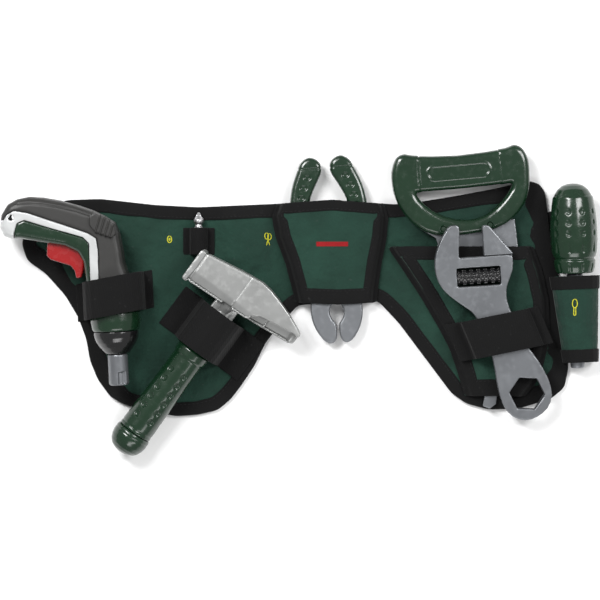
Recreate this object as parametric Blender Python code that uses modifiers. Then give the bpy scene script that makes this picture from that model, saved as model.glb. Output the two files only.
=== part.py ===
"""Toy tool belt lying on its back, with a cordless screwdriver, hammer, pliers, saw, wrench and
screwdriver in it. Lengths below are millimetres; meshes are metres, +Z up, +X along the belt."""

import math

import bmesh
import bpy
from mathutils import Matrix, Vector

MM = 0.001
FIT = 0.3              # free gap kept between touching pieces

# Belt fabric
FLOOR_GAP = 1.3        # height of the panel's underside, one strap above the floor
PANEL_T = 2.4
TAPE_T = 0.7
TAPE_W = 11.0
TAPE_GAP = 0.5         # looser than FIT, as the tape bends with the panel
CLOTH_T = 1.5
ELASTIC_T = 1.6
PANEL_TOP = FLOOR_GAP + PANEL_T
SEWN_Z = PANEL_TOP + FIT
OVER_TAPE_Z = PANEL_TOP + TAPE_GAP + TAPE_T + FIT
PANEL_UNDER = FLOOR_GAP - TAPE_GAP - TAPE_T
STRAP_T = 1.0
STRAP_W = 36.0
PATCH_T = 0.8
CLOSURE_RISE = 3.6     # the panel is lifted this much over the hook-and-loop closing
CLOSURE_X = (-65.0, -37.0)
CLOSURE_Y = (38.0, 74.0)
CLOSURE_RAMP = 11.0

# Tools: (x, y, z) of the local origin, yaw and pitch in degrees; local +Y points out of the holder
DRILL_AT = ((-163.3, -77.9, 25.0), 3.0, 2.5)
HAMMER_AT = ((-151.2, -122.9, 20.7), -36.4, 4.4)
PLIERS_AT = ((30.6, 21.2, 10.6), 4.5, 0.0)
SAW_AT = ((149.4, 59.9, 13.6), 5.0, 2.3)
WRENCH_AT = ((203.9, -85.0, 19.4), 22.7, 3.9)
DRIVER_AT = ((250.2, -63.5, 15.4), 2.0, 3.7)
BIT_AT = ((-91.5, 43.0, 10.4), 0.0, 0.0)
ROOT_AT = (-1.0, 1.2, 1.2)   # places the belt's box over the origin, with the straps on the floor

for leftover in list(bpy.data.objects):
    bpy.data.objects.remove(leftover, do_unlink=True)

BELT = bpy.data.collections.new("toy_tool_belt")
CUTTERS = bpy.data.collections.new("cutters")
bpy.context.scene.collection.children.link(BELT)
bpy.context.scene.collection.children.link(CUTTERS)
ROOT = bpy.data.objects.new("belt_root", None)
ROOT.location = Vector(ROOT_AT) * MM
BELT.objects.link(ROOT)

# Base colour, roughness and metallic value of each material
FINISHES = {
    "green_fabric": ((0.028, 0.085, 0.058), 0.9, 0.0),
    "black_tape": ((0.016, 0.016, 0.018), 0.9, 0.0),
    "elastic": ((0.013, 0.013, 0.015), 0.85, 0.0),
    "webbing": ((0.02, 0.02, 0.022), 0.9, 0.0),
    "hook_loop": ((0.03, 0.03, 0.032), 0.95, 0.0),
    "green_plastic": ((0.012, 0.075, 0.035), 0.3, 0.0),
    "silver_plastic": ((0.45, 0.46, 0.48), 0.35, 0.0),
    "red_plastic": ((0.55, 0.012, 0.015), 0.3, 0.0),
    "white_plastic": ((0.7, 0.71, 0.72), 0.3, 0.0),
    "grey_rubber": ((0.05, 0.045, 0.042), 0.7, 0.0),
    "black_plastic": ((0.02, 0.02, 0.022), 0.3, 0.0),
    "steel": ((0.5, 0.5, 0.5), 0.3, 1.0),
    "battery": ((0.1, 0.1, 0.1), 0.4, 0.0),
}


def finish(name):
    """Returns the named material, made on its first use."""
    found = bpy.data.materials.get(name)
    if found:
        return found
    colour, roughness, metallic = FINISHES[name]
    made = bpy.data.materials.new(name)
    made.use_nodes = True
    shader = made.node_tree.nodes["Principled BSDF"]
    shader.inputs["Base Color"].default_value = (*colour, 1.0)
    shader.inputs["Roughness"].default_value = roughness
    shader.inputs["Metallic"].default_value = metallic
    return made


def tool_frame(name, at, level=False):
    """An empty at a tool's origin; level=True leaves out the pitch."""
    (x, y, z), yaw, pitch = at
    empty = bpy.data.objects.new(name, None)
    BELT.objects.link(empty)
    empty.parent = ROOT
    empty.location = Vector((x, y, 0.0 if level else z)) * MM
    tilt = 0.0 if level else math.radians(pitch)
    turn = Matrix.Rotation(math.radians(yaw), 3, "Z") @ Matrix.Rotation(tilt, 3, "X")
    empty.rotation_euler = turn.to_euler()
    return empty


def add(name, bm, colour, frame=None, cutter=False):
    """Turns a bmesh in millimetres into an object of the belt, or into a hidden cutter."""
    bmesh.ops.remove_doubles(bm, verts=bm.verts, dist=1e-4)
    bmesh.ops.scale(bm, vec=(MM, MM, MM), verts=bm.verts)
    if all(edge.is_manifold for edge in bm.edges):
        bmesh.ops.recalc_face_normals(bm, faces=bm.faces)
    mesh = bpy.data.meshes.new(name)
    bm.to_mesh(mesh)
    bm.free()
    obj = bpy.data.objects.new(name, mesh)
    if cutter:
        obj.hide_render = True
        obj.display_type = "WIRE"
        CUTTERS.objects.link(obj)
    else:
        obj.data.materials.append(finish(colour))
        obj.data.shade_smooth()
        obj.data.set_sharp_from_angle(angle=math.radians(35))
        BELT.objects.link(obj)
    obj.parent = frame or ROOT
    return obj


def bevel(obj, width, segments=2, angle=40):
    """Rounds the edges that are sharper than angle."""
    mod = obj.modifiers.new("edges", "BEVEL")
    mod.width = width * MM
    mod.segments = segments
    mod.limit_method = "ANGLE"
    mod.angle_limit = math.radians(angle)
    return obj


def cut(obj, *cutters):
    """Takes each cutter out of the object."""
    for cutter in cutters:
        mod = obj.modifiers.new("cut", "BOOLEAN")
        mod.operation = "DIFFERENCE"
        mod.solver = "EXACT"
        mod.object = cutter
    return obj


def join(obj, *pieces):
    """Makes the pieces one solid with the object."""
    for piece in pieces:
        mod = obj.modifiers.new("join", "BOOLEAN")
        mod.operation = "UNION"
        mod.object = piece
    return obj


def applied(obj):
    """Returns a bmesh, in millimetres, of the object with its modifiers; removes the object."""
    bpy.context.view_layer.update()
    graph = bpy.context.evaluated_depsgraph_get()
    mesh = bpy.data.meshes.new_from_object(obj.evaluated_get(graph))
    bm = bmesh.new()
    bm.from_mesh(mesh)
    bmesh.ops.scale(bm, vec=(1 / MM, 1 / MM, 1 / MM), verts=bm.verts)
    bpy.data.meshes.remove(mesh)
    bpy.data.objects.remove(obj, do_unlink=True)
    return bm


# ---- outlines -------------------------------------------------------------------------------

def smooth_loop(points, steps=3):
    """A closed curve through the points (Catmull-Rom)."""
    out = []
    count = len(points)
    for i in range(count):
        a, b, c, d = (Vector(points[(i + k - 1) % count]) for k in range(4))
        for k in range(steps):
            t = k / steps
            out.append(tuple(0.5 * (2 * b + (c - a) * t + (2 * a - 5 * b + 4 * c - d) * t ** 2
                                    + (3 * b - a - 3 * c + d) * t ** 3)))
    return out


def fillet_loop(corners, steps=3):
    """A closed polygon of (x, y, radius) corners, each rounded by an arc."""
    out = []
    count = len(corners)
    for i, (x, y, radius) in enumerate(corners):
        here = Vector((x, y))
        back = (Vector(corners[i - 1][:2]) - here)
        ahead = (Vector(corners[(i + 1) % count][:2]) - here)
        if radius <= 0:
            out.append((x, y))
            continue
        back.normalize()
        ahead.normalize()
        half = back.angle(ahead) / 2
        reach = radius / math.tan(half)
        middle = here + (back + ahead).normalized() * (radius / math.sin(half))
        start = here + back * reach - middle
        end = here + ahead * reach - middle
        sweep = start.angle_signed(end)
        for k in range(steps + 1):
            spun = start.copy()
            spun.rotate(Matrix.Rotation(-sweep * k / steps, 2))
            out.append(tuple(middle + spun))
    return out


def offset_loop(points, distance):
    """Moves a closed counter-clockwise outline outward by distance."""
    out = []
    count = len(points)
    for i in range(count):
        here = Vector(points[i])
        before = (here - Vector(points[i - 1])).normalized()
        after = (Vector(points[(i + 1) % count]) - here).normalized()
        normal = Vector((before.y + after.y, -before.x - after.x)).normalized()
        stretch = max(0.5, normal.dot(Vector((after.y, -after.x))))
        out.append(tuple(here + normal * distance / stretch))
    return out


def circle(cx, cy, radius, steps=16):
    turn = 2 * math.pi / steps
    return [(cx + radius * math.cos(turn * k), cy + radius * math.sin(turn * k)) for k in range(steps)]


def slab(outlines, z_low, z_high):
    """A flat solid in millimetres with the first outline outside and the rest as holes."""
    curve = bpy.data.curves.new("outline", "CURVE")
    curve.dimensions = "2D"
    curve.fill_mode = "BOTH"
    curve.extrude = (z_high - z_low) / 2 * MM
    for outline in outlines:
        spline = curve.splines.new("POLY")
        spline.points.add(len(outline) - 1)
        for point, (x, y) in zip(spline.points, outline):
            point.co = (x * MM, y * MM, 0, 1)
        spline.use_cyclic_u = True
    holder = bpy.data.objects.new("outline", curve)
    CUTTERS.objects.link(holder)
    bm = applied(holder)
    bpy.data.curves.remove(curve)
    bmesh.ops.remove_doubles(bm, verts=bm.verts, dist=1e-3)
    bmesh.ops.dissolve_limit(bm, angle_limit=math.radians(0.5), verts=bm.verts, edges=bm.edges)
    bmesh.ops.translate(bm, vec=(0, 0, (z_low + z_high) / 2), verts=bm.verts)
    return bm


def swept_round(outline, section):
    """Sweeps a closed section of (offset, z) points round a closed outline."""
    bm = bmesh.new()
    rings = [[bm.verts.new((x, y, z)) for x, y in offset_loop(outline, offset)] for offset, z in section]
    count = len(outline)
    for ring, following in zip(rings, rings[1:] + rings[:1]):
        for i in range(count):
            j = (i + 1) % count
            bm.faces.new((ring[i], ring[j], following[j], following[i]))
    return bm


def plate(name, outlines, z_low, z_high, colour, frame, edge=0.0, segments=2):
    obj = add(name, slab(outlines, z_low, z_high), colour, frame)
    return bevel(obj, edge, segments) if edge else obj


def cut_slab(name, outlines, z_low, z_high, frame):
    return add(name, slab(outlines, z_low, z_high), None, frame, cutter=True)


def cut_cylinder(name, radius, start, end, frame, steps=16):
    """A round cutter from start to end."""
    a, b = Vector(start), Vector(end)
    bm = bmesh.new()
    turn = (b - a).to_track_quat("Z", "Y").to_matrix().to_4x4()
    bmesh.ops.create_cone(bm, cap_ends=True, segments=steps, radius1=radius, radius2=radius,
                          depth=(b - a).length, matrix=Matrix.Translation((a + b) / 2) @ turn)
    return add(name, bm, None, frame, cutter=True)


def turned(profile, steps=20, centre=(0.0, 0.0)):
    """A bmesh turned about a line along local Y; profile is (radius, y) pairs, both ends at
    radius 0 or joined into a ring."""
    bm = bmesh.new()
    verts = [bm.verts.new((r, 0, y)) for r, y in profile]
    for a, b in zip(verts, verts[1:]):
        bm.edges.new((a, b))
    closed = profile[0][0] > 0
    if closed:
        bm.edges.new((verts[-1], verts[0]))
    bmesh.ops.spin(bm, geom=list(bm.verts) + list(bm.edges), cent=(0, 0, 0), axis=(0, 0, 1),
                   angle=2 * math.pi, steps=steps, use_merge=True)
    bmesh.ops.remove_doubles(bm, verts=bm.verts, dist=1e-3)
    bmesh.ops.rotate(bm, verts=bm.verts, matrix=Matrix.Rotation(math.radians(-90), 3, "X"))
    bmesh.ops.translate(bm, verts=bm.verts, vec=(centre[0], 0, centre[1]))
    return bm


def rod(name, radius, start, end, colour, frame, steps=16):
    a, b = Vector(start), Vector(end)
    bm = bmesh.new()
    turn = (b - a).to_track_quat("Z", "Y").to_matrix().to_4x4()
    bmesh.ops.create_cone(bm, cap_ends=True, segments=steps, radius1=radius, radius2=radius,
                          depth=(b - a).length, matrix=Matrix.Translation((a + b) / 2) @ turn)
    return add(name, bm, colour, frame)


# ---- fabric ---------------------------------------------------------------------------------

def closure_rise(x, y):
    """How far the panel is lifted over the strap closing at this place."""
    def ramp(value, low, high):
        inside = min(value - (low - CLOSURE_RAMP), (high + CLOSURE_RAMP) - value) / CLOSURE_RAMP
        t = min(1.0, max(0.0, inside))
        return t * t * (3 - 2 * t)
    return CLOSURE_RISE * ramp(x, *CLOSURE_X) * ramp(y, *CLOSURE_Y)


def drape(bm):
    """Cuts a flat solid along the closing's ramps and lifts it over them."""
    x_lines = [CLOSURE_X[0] - CLOSURE_RAMP, CLOSURE_X[0] - CLOSURE_RAMP / 2, CLOSURE_X[0],
               CLOSURE_X[1], CLOSURE_X[1] + CLOSURE_RAMP / 2, CLOSURE_X[1] + CLOSURE_RAMP]
    y_lines = [CLOSURE_Y[0] - CLOSURE_RAMP, CLOSURE_Y[0] - CLOSURE_RAMP / 2, CLOSURE_Y[0],
               CLOSURE_Y[1], CLOSURE_Y[1] + CLOSURE_RAMP / 2]
    planes = [((x, 0, 0), (1, 0, 0)) for x in x_lines] + [((0, y, 0), (0, 1, 0)) for y in y_lines]
    for spot, normal in planes:
        bmesh.ops.bisect_plane(bm, geom=list(bm.verts) + list(bm.edges) + list(bm.faces),
                               plane_co=spot, plane_no=normal, dist=1e-3)
    bmesh.ops.triangulate(bm, faces=bm.faces)
    for vert in bm.verts:
        vert.co.z += closure_rise(vert.co.x, vert.co.y)
    return bm


def sheet(name, rows, thickness, colour, frame=None, ring=False, hole=None, lift=0.0):
    """Cloth through a grid of points, thickened outward. ring joins each row's ends; hole is
    (first row, last row, first column, last column) of the cells left open; lift moves the
    cloth off the points, for a layer sewn on another."""
    bm = bmesh.new()
    grid = [[bm.verts.new(p) for p in row] for row in rows]
    width = len(rows[0])
    open_faces = []
    for r in range(len(rows) - 1):
        for c in range(width if ring else width - 1):
            d = (c + 1) % width
            face = bm.faces.new((grid[r][c], grid[r][d], grid[r + 1][d], grid[r + 1][c]))
            if hole and hole[0] <= r < hole[1] and hole[2] <= c < hole[3]:
                open_faces.append(face)
    bm.normal_update()
    moves = [(vert, vert.normal * lift * vert.calc_shell_factor()) for vert in bm.verts]
    for vert, move in moves:
        vert.co += move
    bmesh.ops.delete(bm, geom=open_faces, context="FACES")
    bmesh.ops.scale(bm, vec=(MM, MM, MM), verts=bm.verts)
    mesh = bpy.data.meshes.new(name)
    bm.to_mesh(mesh)
    bm.free()
    obj = bpy.data.objects.new(name, mesh)
    obj.data.materials.append(finish(colour))
    obj.data.shade_smooth()
    BELT.objects.link(obj)
    obj.parent = frame or ROOT
    thick = obj.modifiers.new("thickness", "SOLIDIFY")
    thick.thickness = thickness * MM
    thick.offset = 1.0
    thick.use_even_offset = True
    return obj


def arch(centre, radius, height, foot_z, tab, steps=10, spread=3.0, squareness=1.0):
    """Points across a loop: tab, rise, half circle, fall, tab; height is the arc's centre.
    A squareness under 1 fills the arc's corners out."""
    points = [(centre - radius - spread - tab, foot_z), (centre - radius - spread, foot_z)]
    for k in range(steps + 1):
        turn = math.pi * (1 - k / steps)
        across, up = math.cos(turn), max(0.0, math.sin(turn))
        points.append((centre + math.copysign(radius * abs(across) ** squareness, across),
                       height + radius * up ** squareness))
    points += [(centre + radius + spread, foot_z), (centre + radius + spread + tab, foot_z)]
    return points


def loop_band(name, points, y_low, y_high, colour, frame, skew=0.0):
    """An elastic loop: the points across, swept from y_low to y_high; skew tilts it per mm of x."""
    rows = [[(x, y + skew * x, z) for x, z in points] for y in (y_low, (y_low + y_high) / 2, y_high)]
    return sheet(name, rows, ELASTIC_T, colour, frame)


# Belt outline, counter-clockwise from the left end of the top edge
PANEL_OUTLINE = smooth_loop([
    (-212, 88), (-232, 78), (-246, 64), (-251, 50), (-246, 35), (-230, 24), (-212, 4),
    (-200, -16), (-192.5, -36), (-189, -56), (-182, -73), (-171, -88), (-159, -95), (-136, -101),
    (-112, -105.5), (-92, -104), (-75, -100), (-64, -91), (-54, -78), (-42, -60), (-32.5, -40),
    (-24, -29), (-12.6, -16), (-2.5, -5), (11, -4), (36, -2), (58, 1), (72, -2), (90, -21),
    (117, -57), (138, -85), (151, -94), (171, -99.5), (198, -98.5), (227, -89.6), (238.5, -80),
    (242, -62), (239, -20), (233, 20), (225, 60), (221, 96), (216, 103), (207, 105.5), (180, 99),
    (143, 92), (106, 86), (86, 84), (60, 86), (20, 87), (-13, 85), (-48, 83.5), (-92, 81.5),
    (-131, 83.5), (-180, 89),
], steps=1)

# Flap over the pliers: left and right edge at its bottom and its top
FLAP_Y = (-3.0, 8.0, 32.0, 55.0, 74.0, 84.0)
FLAP_LEFT = (-4.5, -7.0, -13.5, -22.0, -25.5, -21.5)
FLAP_RIGHT = (69.5, 70.5, 74.0, 78.5, 80.0, 76.5)
FLAP_BOW = (-2.5, -2.0, 0.0, 1.0, 3.0, 5.0)   # how far each row's middle lies past its ends
FLAP_TOP = 16.5
FLAP_CROWN = 1.4
FLAP_TAB = 5.0
FLAP_RAMP = 3.2

# Saw pocket: left and right edge from its bottom to its mouth
POCKET_Y = (-88.0, -77.0, -64.0, -45.0, -26.0, 0.0, 26.0, 47.0)
POCKET_LEFT = (149.0, 145.5, 141.5, 135.0, 125.0, 110.0, 93.0, 79.0)
POCKET_RIGHT = (204.0, 213.0, 219.0, 224.0, 226.0, 225.0, 219.0, 211.0)
POCKET_LIFT = (10.2, 10.7, 11.3, 12.0, 12.8, 13.9, 14.9, 15.9)

# Screwdriver sheath: its lower end and its mouth
SHEATH_Y = (6.0, 84.0)
SHEATH_HALF = (13.2, 19.6)
SHEATH_LEAN = 3.0      # how far the lower end lies to the right
SHEATH_TAPE_W = 12.0
SHEATH_TOP = (25.5, 32.0)

LOOP_TAB = 9.0


def make_panel():
    add("belt_panel", drape(slab([PANEL_OUTLINE], FLOOR_GAP, PANEL_TOP)), "green_fabric")
    low, high = FLOOR_GAP - TAPE_GAP, PANEL_TOP + TAPE_GAP
    section = [(TAPE_GAP + TAPE_T, low - TAPE_T), (TAPE_GAP + TAPE_T, high + TAPE_T),
               (-TAPE_W, high + TAPE_T), (-TAPE_W, high), (TAPE_GAP, high), (TAPE_GAP, low),
               (-TAPE_W, low), (-TAPE_W, low - TAPE_T)]
    add("panel_binding", drape(swept_round(PANEL_OUTLINE, section)), "black_tape")


def flap_row(y, left, right, bow):
    """Points across the flap: tab, steep side, crowned top, steep side, tab."""
    middle, half = (left + right) / 2, (right - left) / 2
    wall_l, wall_r = left + FLAP_TAB, right - FLAP_TAB
    points = [(left, OVER_TAPE_Z), (wall_l, OVER_TAPE_Z), (wall_l + FLAP_RAMP * 0.6, FLAP_TOP - 3),
              (wall_l + FLAP_RAMP, FLAP_TOP - 0.8), (left + TAPE_W + 1, FLAP_TOP),
              (middle, FLAP_TOP + FLAP_CROWN),
              (right - TAPE_W - 1, FLAP_TOP), (wall_r - FLAP_RAMP, FLAP_TOP - 0.8),
              (wall_r - FLAP_RAMP * 0.6, FLAP_TOP - 3), (wall_r, OVER_TAPE_Z), (right, OVER_TAPE_Z)]
    return [(x, y + bow * (1 - ((x - middle) / half) ** 2), z) for x, z in points]


def pocket_row(y, left, right, top):
    """Points across the pocket: tab, slope, flat front, slope, tab."""
    seam, slope = 5.0, 8.0
    inner_l, inner_r = left + TAPE_W + 6, right - TAPE_W - 6
    points = [(left, OVER_TAPE_Z), (left + seam, OVER_TAPE_Z), (left + slope, top), (inner_l, top),
              ((inner_l + inner_r) / 2, top), (inner_r, top), (right - slope, top),
              (right - seam, OVER_TAPE_Z), (right, OVER_TAPE_Z)]
    return [(x, y, z) for x, z in points]


def make_flap_and_pocket():
    over = CLOTH_T + FIT
    flap = [flap_row(*row) for row in zip(FLAP_Y, FLAP_LEFT, FLAP_RIGHT, FLAP_BOW)]
    sheet("centre_flap", flap, CLOTH_T, "green_fabric")
    sheet("centre_flap_binding", flap, TAPE_T, "black_tape",
          hole=(1, len(flap) - 2, 4, 6), lift=over)
    pocket = [pocket_row(*row) for row in zip(POCKET_Y, POCKET_LEFT, POCKET_RIGHT, POCKET_LIFT)]
    sheet("saw_pocket", pocket, CLOTH_T, "green_fabric")
    sheet("saw_pocket_binding", pocket, TAPE_T, "black_tape",
          hole=(1, len(pocket) - 2, 3, 5), lift=over)


def make_loops():
    drill = tool_frame("drill_loop_frame", DRILL_AT, level=True)
    path = arch(0.2, 25.8, 28.4, OVER_TAPE_Z, LOOP_TAB, spread=0.0, squareness=0.72)
    loop_band("drill_loop", path, 63.0, 97.5, "elastic", drill, skew=0.14)

    hammer = tool_frame("hammer_loop_frame", HAMMER_AT, level=True)
    path = arch(1.0, 18.8, 29.8, OVER_TAPE_Z, LOOP_TAB, spread=4.0)
    path = [(-41.0, OVER_TAPE_Z)] + path[1:-1] + [(47.0, OVER_TAPE_Z)]
    loop_band("hammer_loop", path, 95.0, 136.5, "elastic", hammer)

    bit = tool_frame("bit_loop_frame", BIT_AT, level=True)
    path = arch(0.0, 6.2, 10.6, SEWN_Z + 0.1, 7.5, steps=8, spread=0.5)
    loop_band("bit_loop", path, -3.5, 21.0, "elastic", bit)

    wrench = tool_frame("wrench_loop_frame", WRENCH_AT, level=True)
    foot, crown = 16.6, 32.8
    path = [(-44, foot), (-32, foot), (-29.5, foot + 4), (-28.5, crown - 4), (-25, crown - 1),
            (0, crown), (25, crown - 1), (28.5, crown - 4), (29.5, foot + 4), (32, foot), (40, foot)]
    loop_band("wrench_loop", path, 40.0, 76.0, "elastic", wrench, skew=-0.2)


def sheath_row(y):
    """A closed ring round the sheath at y: flat below, domed above, wider towards its mouth."""
    t = (y - SHEATH_Y[0]) / (SHEATH_Y[1] - SHEATH_Y[0])
    half = SHEATH_HALF[0] + t * (SHEATH_HALF[1] - SHEATH_HALF[0])
    middle = SHEATH_LEAN * (1 - t)
    top = SHEATH_TOP[0] + t * (SHEATH_TOP[1] - SHEATH_TOP[0])
    low = OVER_TAPE_Z + TAPE_T + FIT + CLOTH_T
    waist = low + 0.45 * (top - low)
    ring = [(middle - half, y, low), (middle - half - 0.5, y, waist)]
    steps = 6
    for k in range(steps + 1):
        turn = math.pi * (0.86 - 0.72 * k / steps)
        ring.append((middle + half * math.cos(turn), y, waist + (top - waist) * math.sin(turn)))
    return ring + [(middle + half + 0.5, y, waist), (middle + half, y, low), (middle, y, low)]


def make_sheath():
    frame = tool_frame("sheath_frame", DRIVER_AT, level=True)
    low, high = SHEATH_Y
    rows = [sheath_row(y) for y in (low, high)]
    sheet("screwdriver_sheath", rows, CLOTH_T, "green_fabric", frame, ring=True)
    ribbons = (("sheath_bottom_binding", low, low + SHEATH_TAPE_W),
               ("sheath_top_binding", high - SHEATH_TAPE_W, high))
    for name, start, end in ribbons:
        rows = [sheath_row(y) for y in (start, end)]
        sheet(name, rows, TAPE_T, "black_tape", frame, ring=True, lift=CLOTH_T + FIT)


def strap_rows(path, y_low, y_high, slope=0.0):
    return [[(x, y + slope * (x - path[0][0]), z) for x, z in path] for y in (y_low, y_high)]


def make_straps():
    """Each strap runs under the panel, folds back at its end and meets the other behind."""
    middle = 56.0
    low, high = middle - STRAP_W / 2, middle + STRAP_W / 2
    under = -STRAP_T - FIT + PANEL_UNDER
    left = [(-215, under), (-70, under), (-39, under)]
    sheet("waist_strap_left", strap_rows(left, low, high), STRAP_T, "webbing")
    stack = under + STRAP_T + FIT
    patch_low, patch_high = low + 2, high - 2
    sheet("hook_patch", [[(-66, y, stack), (-43, y, stack)] for y in (patch_low, patch_high)],
          PATCH_T, "hook_loop")
    stack += PATCH_T + FIT
    sheet("loop_patch", [[(-66, y, stack), (-43, y, stack)] for y in (patch_low, patch_high)],
          PATCH_T, "hook_loop")
    stack += PATCH_T + FIT
    fold = [(-66, stack), (-41, stack), (-36, stack - 1.8), (-31, under + 0.3), (-27, under),
            (120, under), (212, under)]
    tail = [(232, under), (247, under), (253, under)]
    rows = []
    for y in (low, high):
        row = [(x, y, z) for x, z in fold]
        row += [(x, y + (x - 212) * 0.32, z) for x, z in tail]
        rows.append(row)
    sheet("waist_strap_right", rows, STRAP_T, "webbing")


make_panel()
make_flap_and_pocket()
make_loops()
make_sheath()
make_straps()


# ---- cordless screwdriver ---------------------------------------------------------------------

PARTING = 0.15         # half the gap between two halves that close on each other
DRILL_AXIS_X = 1.0
CASE_HALF = 17.5
CASE_WALL = 2.2
CASE_ROUND = 7.0
NOSE_R = 22.0
SPINDLE_R = 3.6
BORE_R = 4.6
TRIGGER_HALF = 8.0
CORE_BORE = 5.4
HEAD_HALF = 13.0
SAW_HANDLE_HALF = 8.4
WRENCH_HALF = 6.0
WORM_CENTRE = (0.0, 114.0)
WORM_TILT = -18.8
JAW_FLOOR = 18.3
HEX_R = 16.0
PIN_BORE = 2.3
CASE_OUTLINE = [
    (22.5, 67.5), (21.5, 80), (15.5, 98), (12, 110), (11.2, 121), (9.3, 135), (5.5, 146), (-4, 152.5),
    (-13, 157.5), (-26, 162.7), (-42, 168), (-57, 171.5), (-70, 173), (-80, 171.5), (-89, 167),
    (-95, 158), (-97, 147), (-93.5, 139), (-87, 136.5), (-80, 136.5), (-58.5, 131.5), (-40, 127.5),
    (-29, 121.5), (-24.5, 113), (-23.2, 100), (-21.5, 86), (-20.5, 67.5),
]
TRIGGER_OUTLINE = [
    (-57, 119.5), (-53.5, 116), (-36, 109.5), (-32.5, 104.5), (-31.8, 98), (-27, 98.5), (-25, 104),
    (-23.5, 113), (-20, 121), (-27, 128), (-40, 133.5), (-55, 137),
]


TRIM_OUTLINE = [
    (-102, 152), (-93, 153), (-89.5, 158), (-83, 161.2), (-71.4, 158.8), (-44.9, 148.4),
    (-18.5, 138), (-11.5, 133), (-10.3, 122), (-11, 100), (-11, 60), (-18.6, 60), (-18.6, 101),
    (-18, 129), (-23, 134.6), (-54, 145.2), (-74.5, 152.6), (-80.9, 150.2), (-84, 142.3),
    (-85, 130), (-102, 130),
]
PANEL_CUT = [
    (-18.9, 60), (-18.9, 101), (-18.4, 128.8), (-23.1, 134.2), (-54.1, 144.8), (-74.5, 152.2),
    (-80.6, 149.9), (-83.7, 142.2), (-84.7, 130), (-60, 105), (-40, 85), (-30, 60),
]
BODY_CUT = [
    (-102, 152.3), (-93.2, 153.3), (-89.7, 158.4), (-83, 161.6), (-71.2, 159.2), (-44.8, 148.8),
    (-18.3, 138.4), (-11.2, 133.2), (-10, 122), (-10.7, 100), (-10.7, 60), (-30, 60), (-60, 105),
    (-85, 125), (-102, 130),
]
TRIGGER_ROOM = [
    (-59, 117), (-50, 112), (-35, 106), (-34, 92), (-25, 95), (-20.5, 103), (-18.5, 112),
    (-17, 123), (-25, 132), (-39, 138), (-56, 141.5), (-60, 130),
]


def half_blank(outline, half, rounding, front, holes=()):
    """The front or back half of a rounded flat body, left open at the parting plane."""
    low, high = (PARTING, half) if front else (-half, -PARTING)
    bm = slab([outline, *holes], low, high)
    rim = [e for e in bm.edges if all(abs(abs(v.co.z) - half) < 0.01 for v in e.verts)]
    bmesh.ops.bevel(bm, geom=rim, offset=rounding, segments=3, profile=0.5, affect="EDGES")
    return bm


def case_piece(name, front, colour, frame, keep=None, drop=None):
    """A region of one moulded case half: a rounded shell, cut to its region and its openings."""
    bm = half_blank(CASE_OUTLINE, CASE_HALF, CASE_ROUND, front)
    flat = [f for f in bm.faces if all(abs(v.co.z) < 2 * PARTING for v in f.verts)]
    bmesh.ops.recalc_face_normals(bm, faces=bm.faces)
    bmesh.ops.delete(bm, geom=flat, context="FACES")
    shell = add(name, bm, colour, frame)
    wall = shell.modifiers.new("wall", "SOLIDIFY")
    wall.thickness = CASE_WALL * MM
    wall.offset = -1.0
    wall.use_even_offset = True
    if keep:
        mod = shell.modifiers.new("region", "BOOLEAN")
        mod.operation = "INTERSECT"
        mod.object = cut_slab(name + "_region", [keep], -CASE_HALF - 5, CASE_HALF + 5, frame)
    if drop:
        cut(shell, cut_slab(name + "_rest", [drop], -CASE_HALF - 5, CASE_HALF + 5, frame))
    return shell


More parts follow.
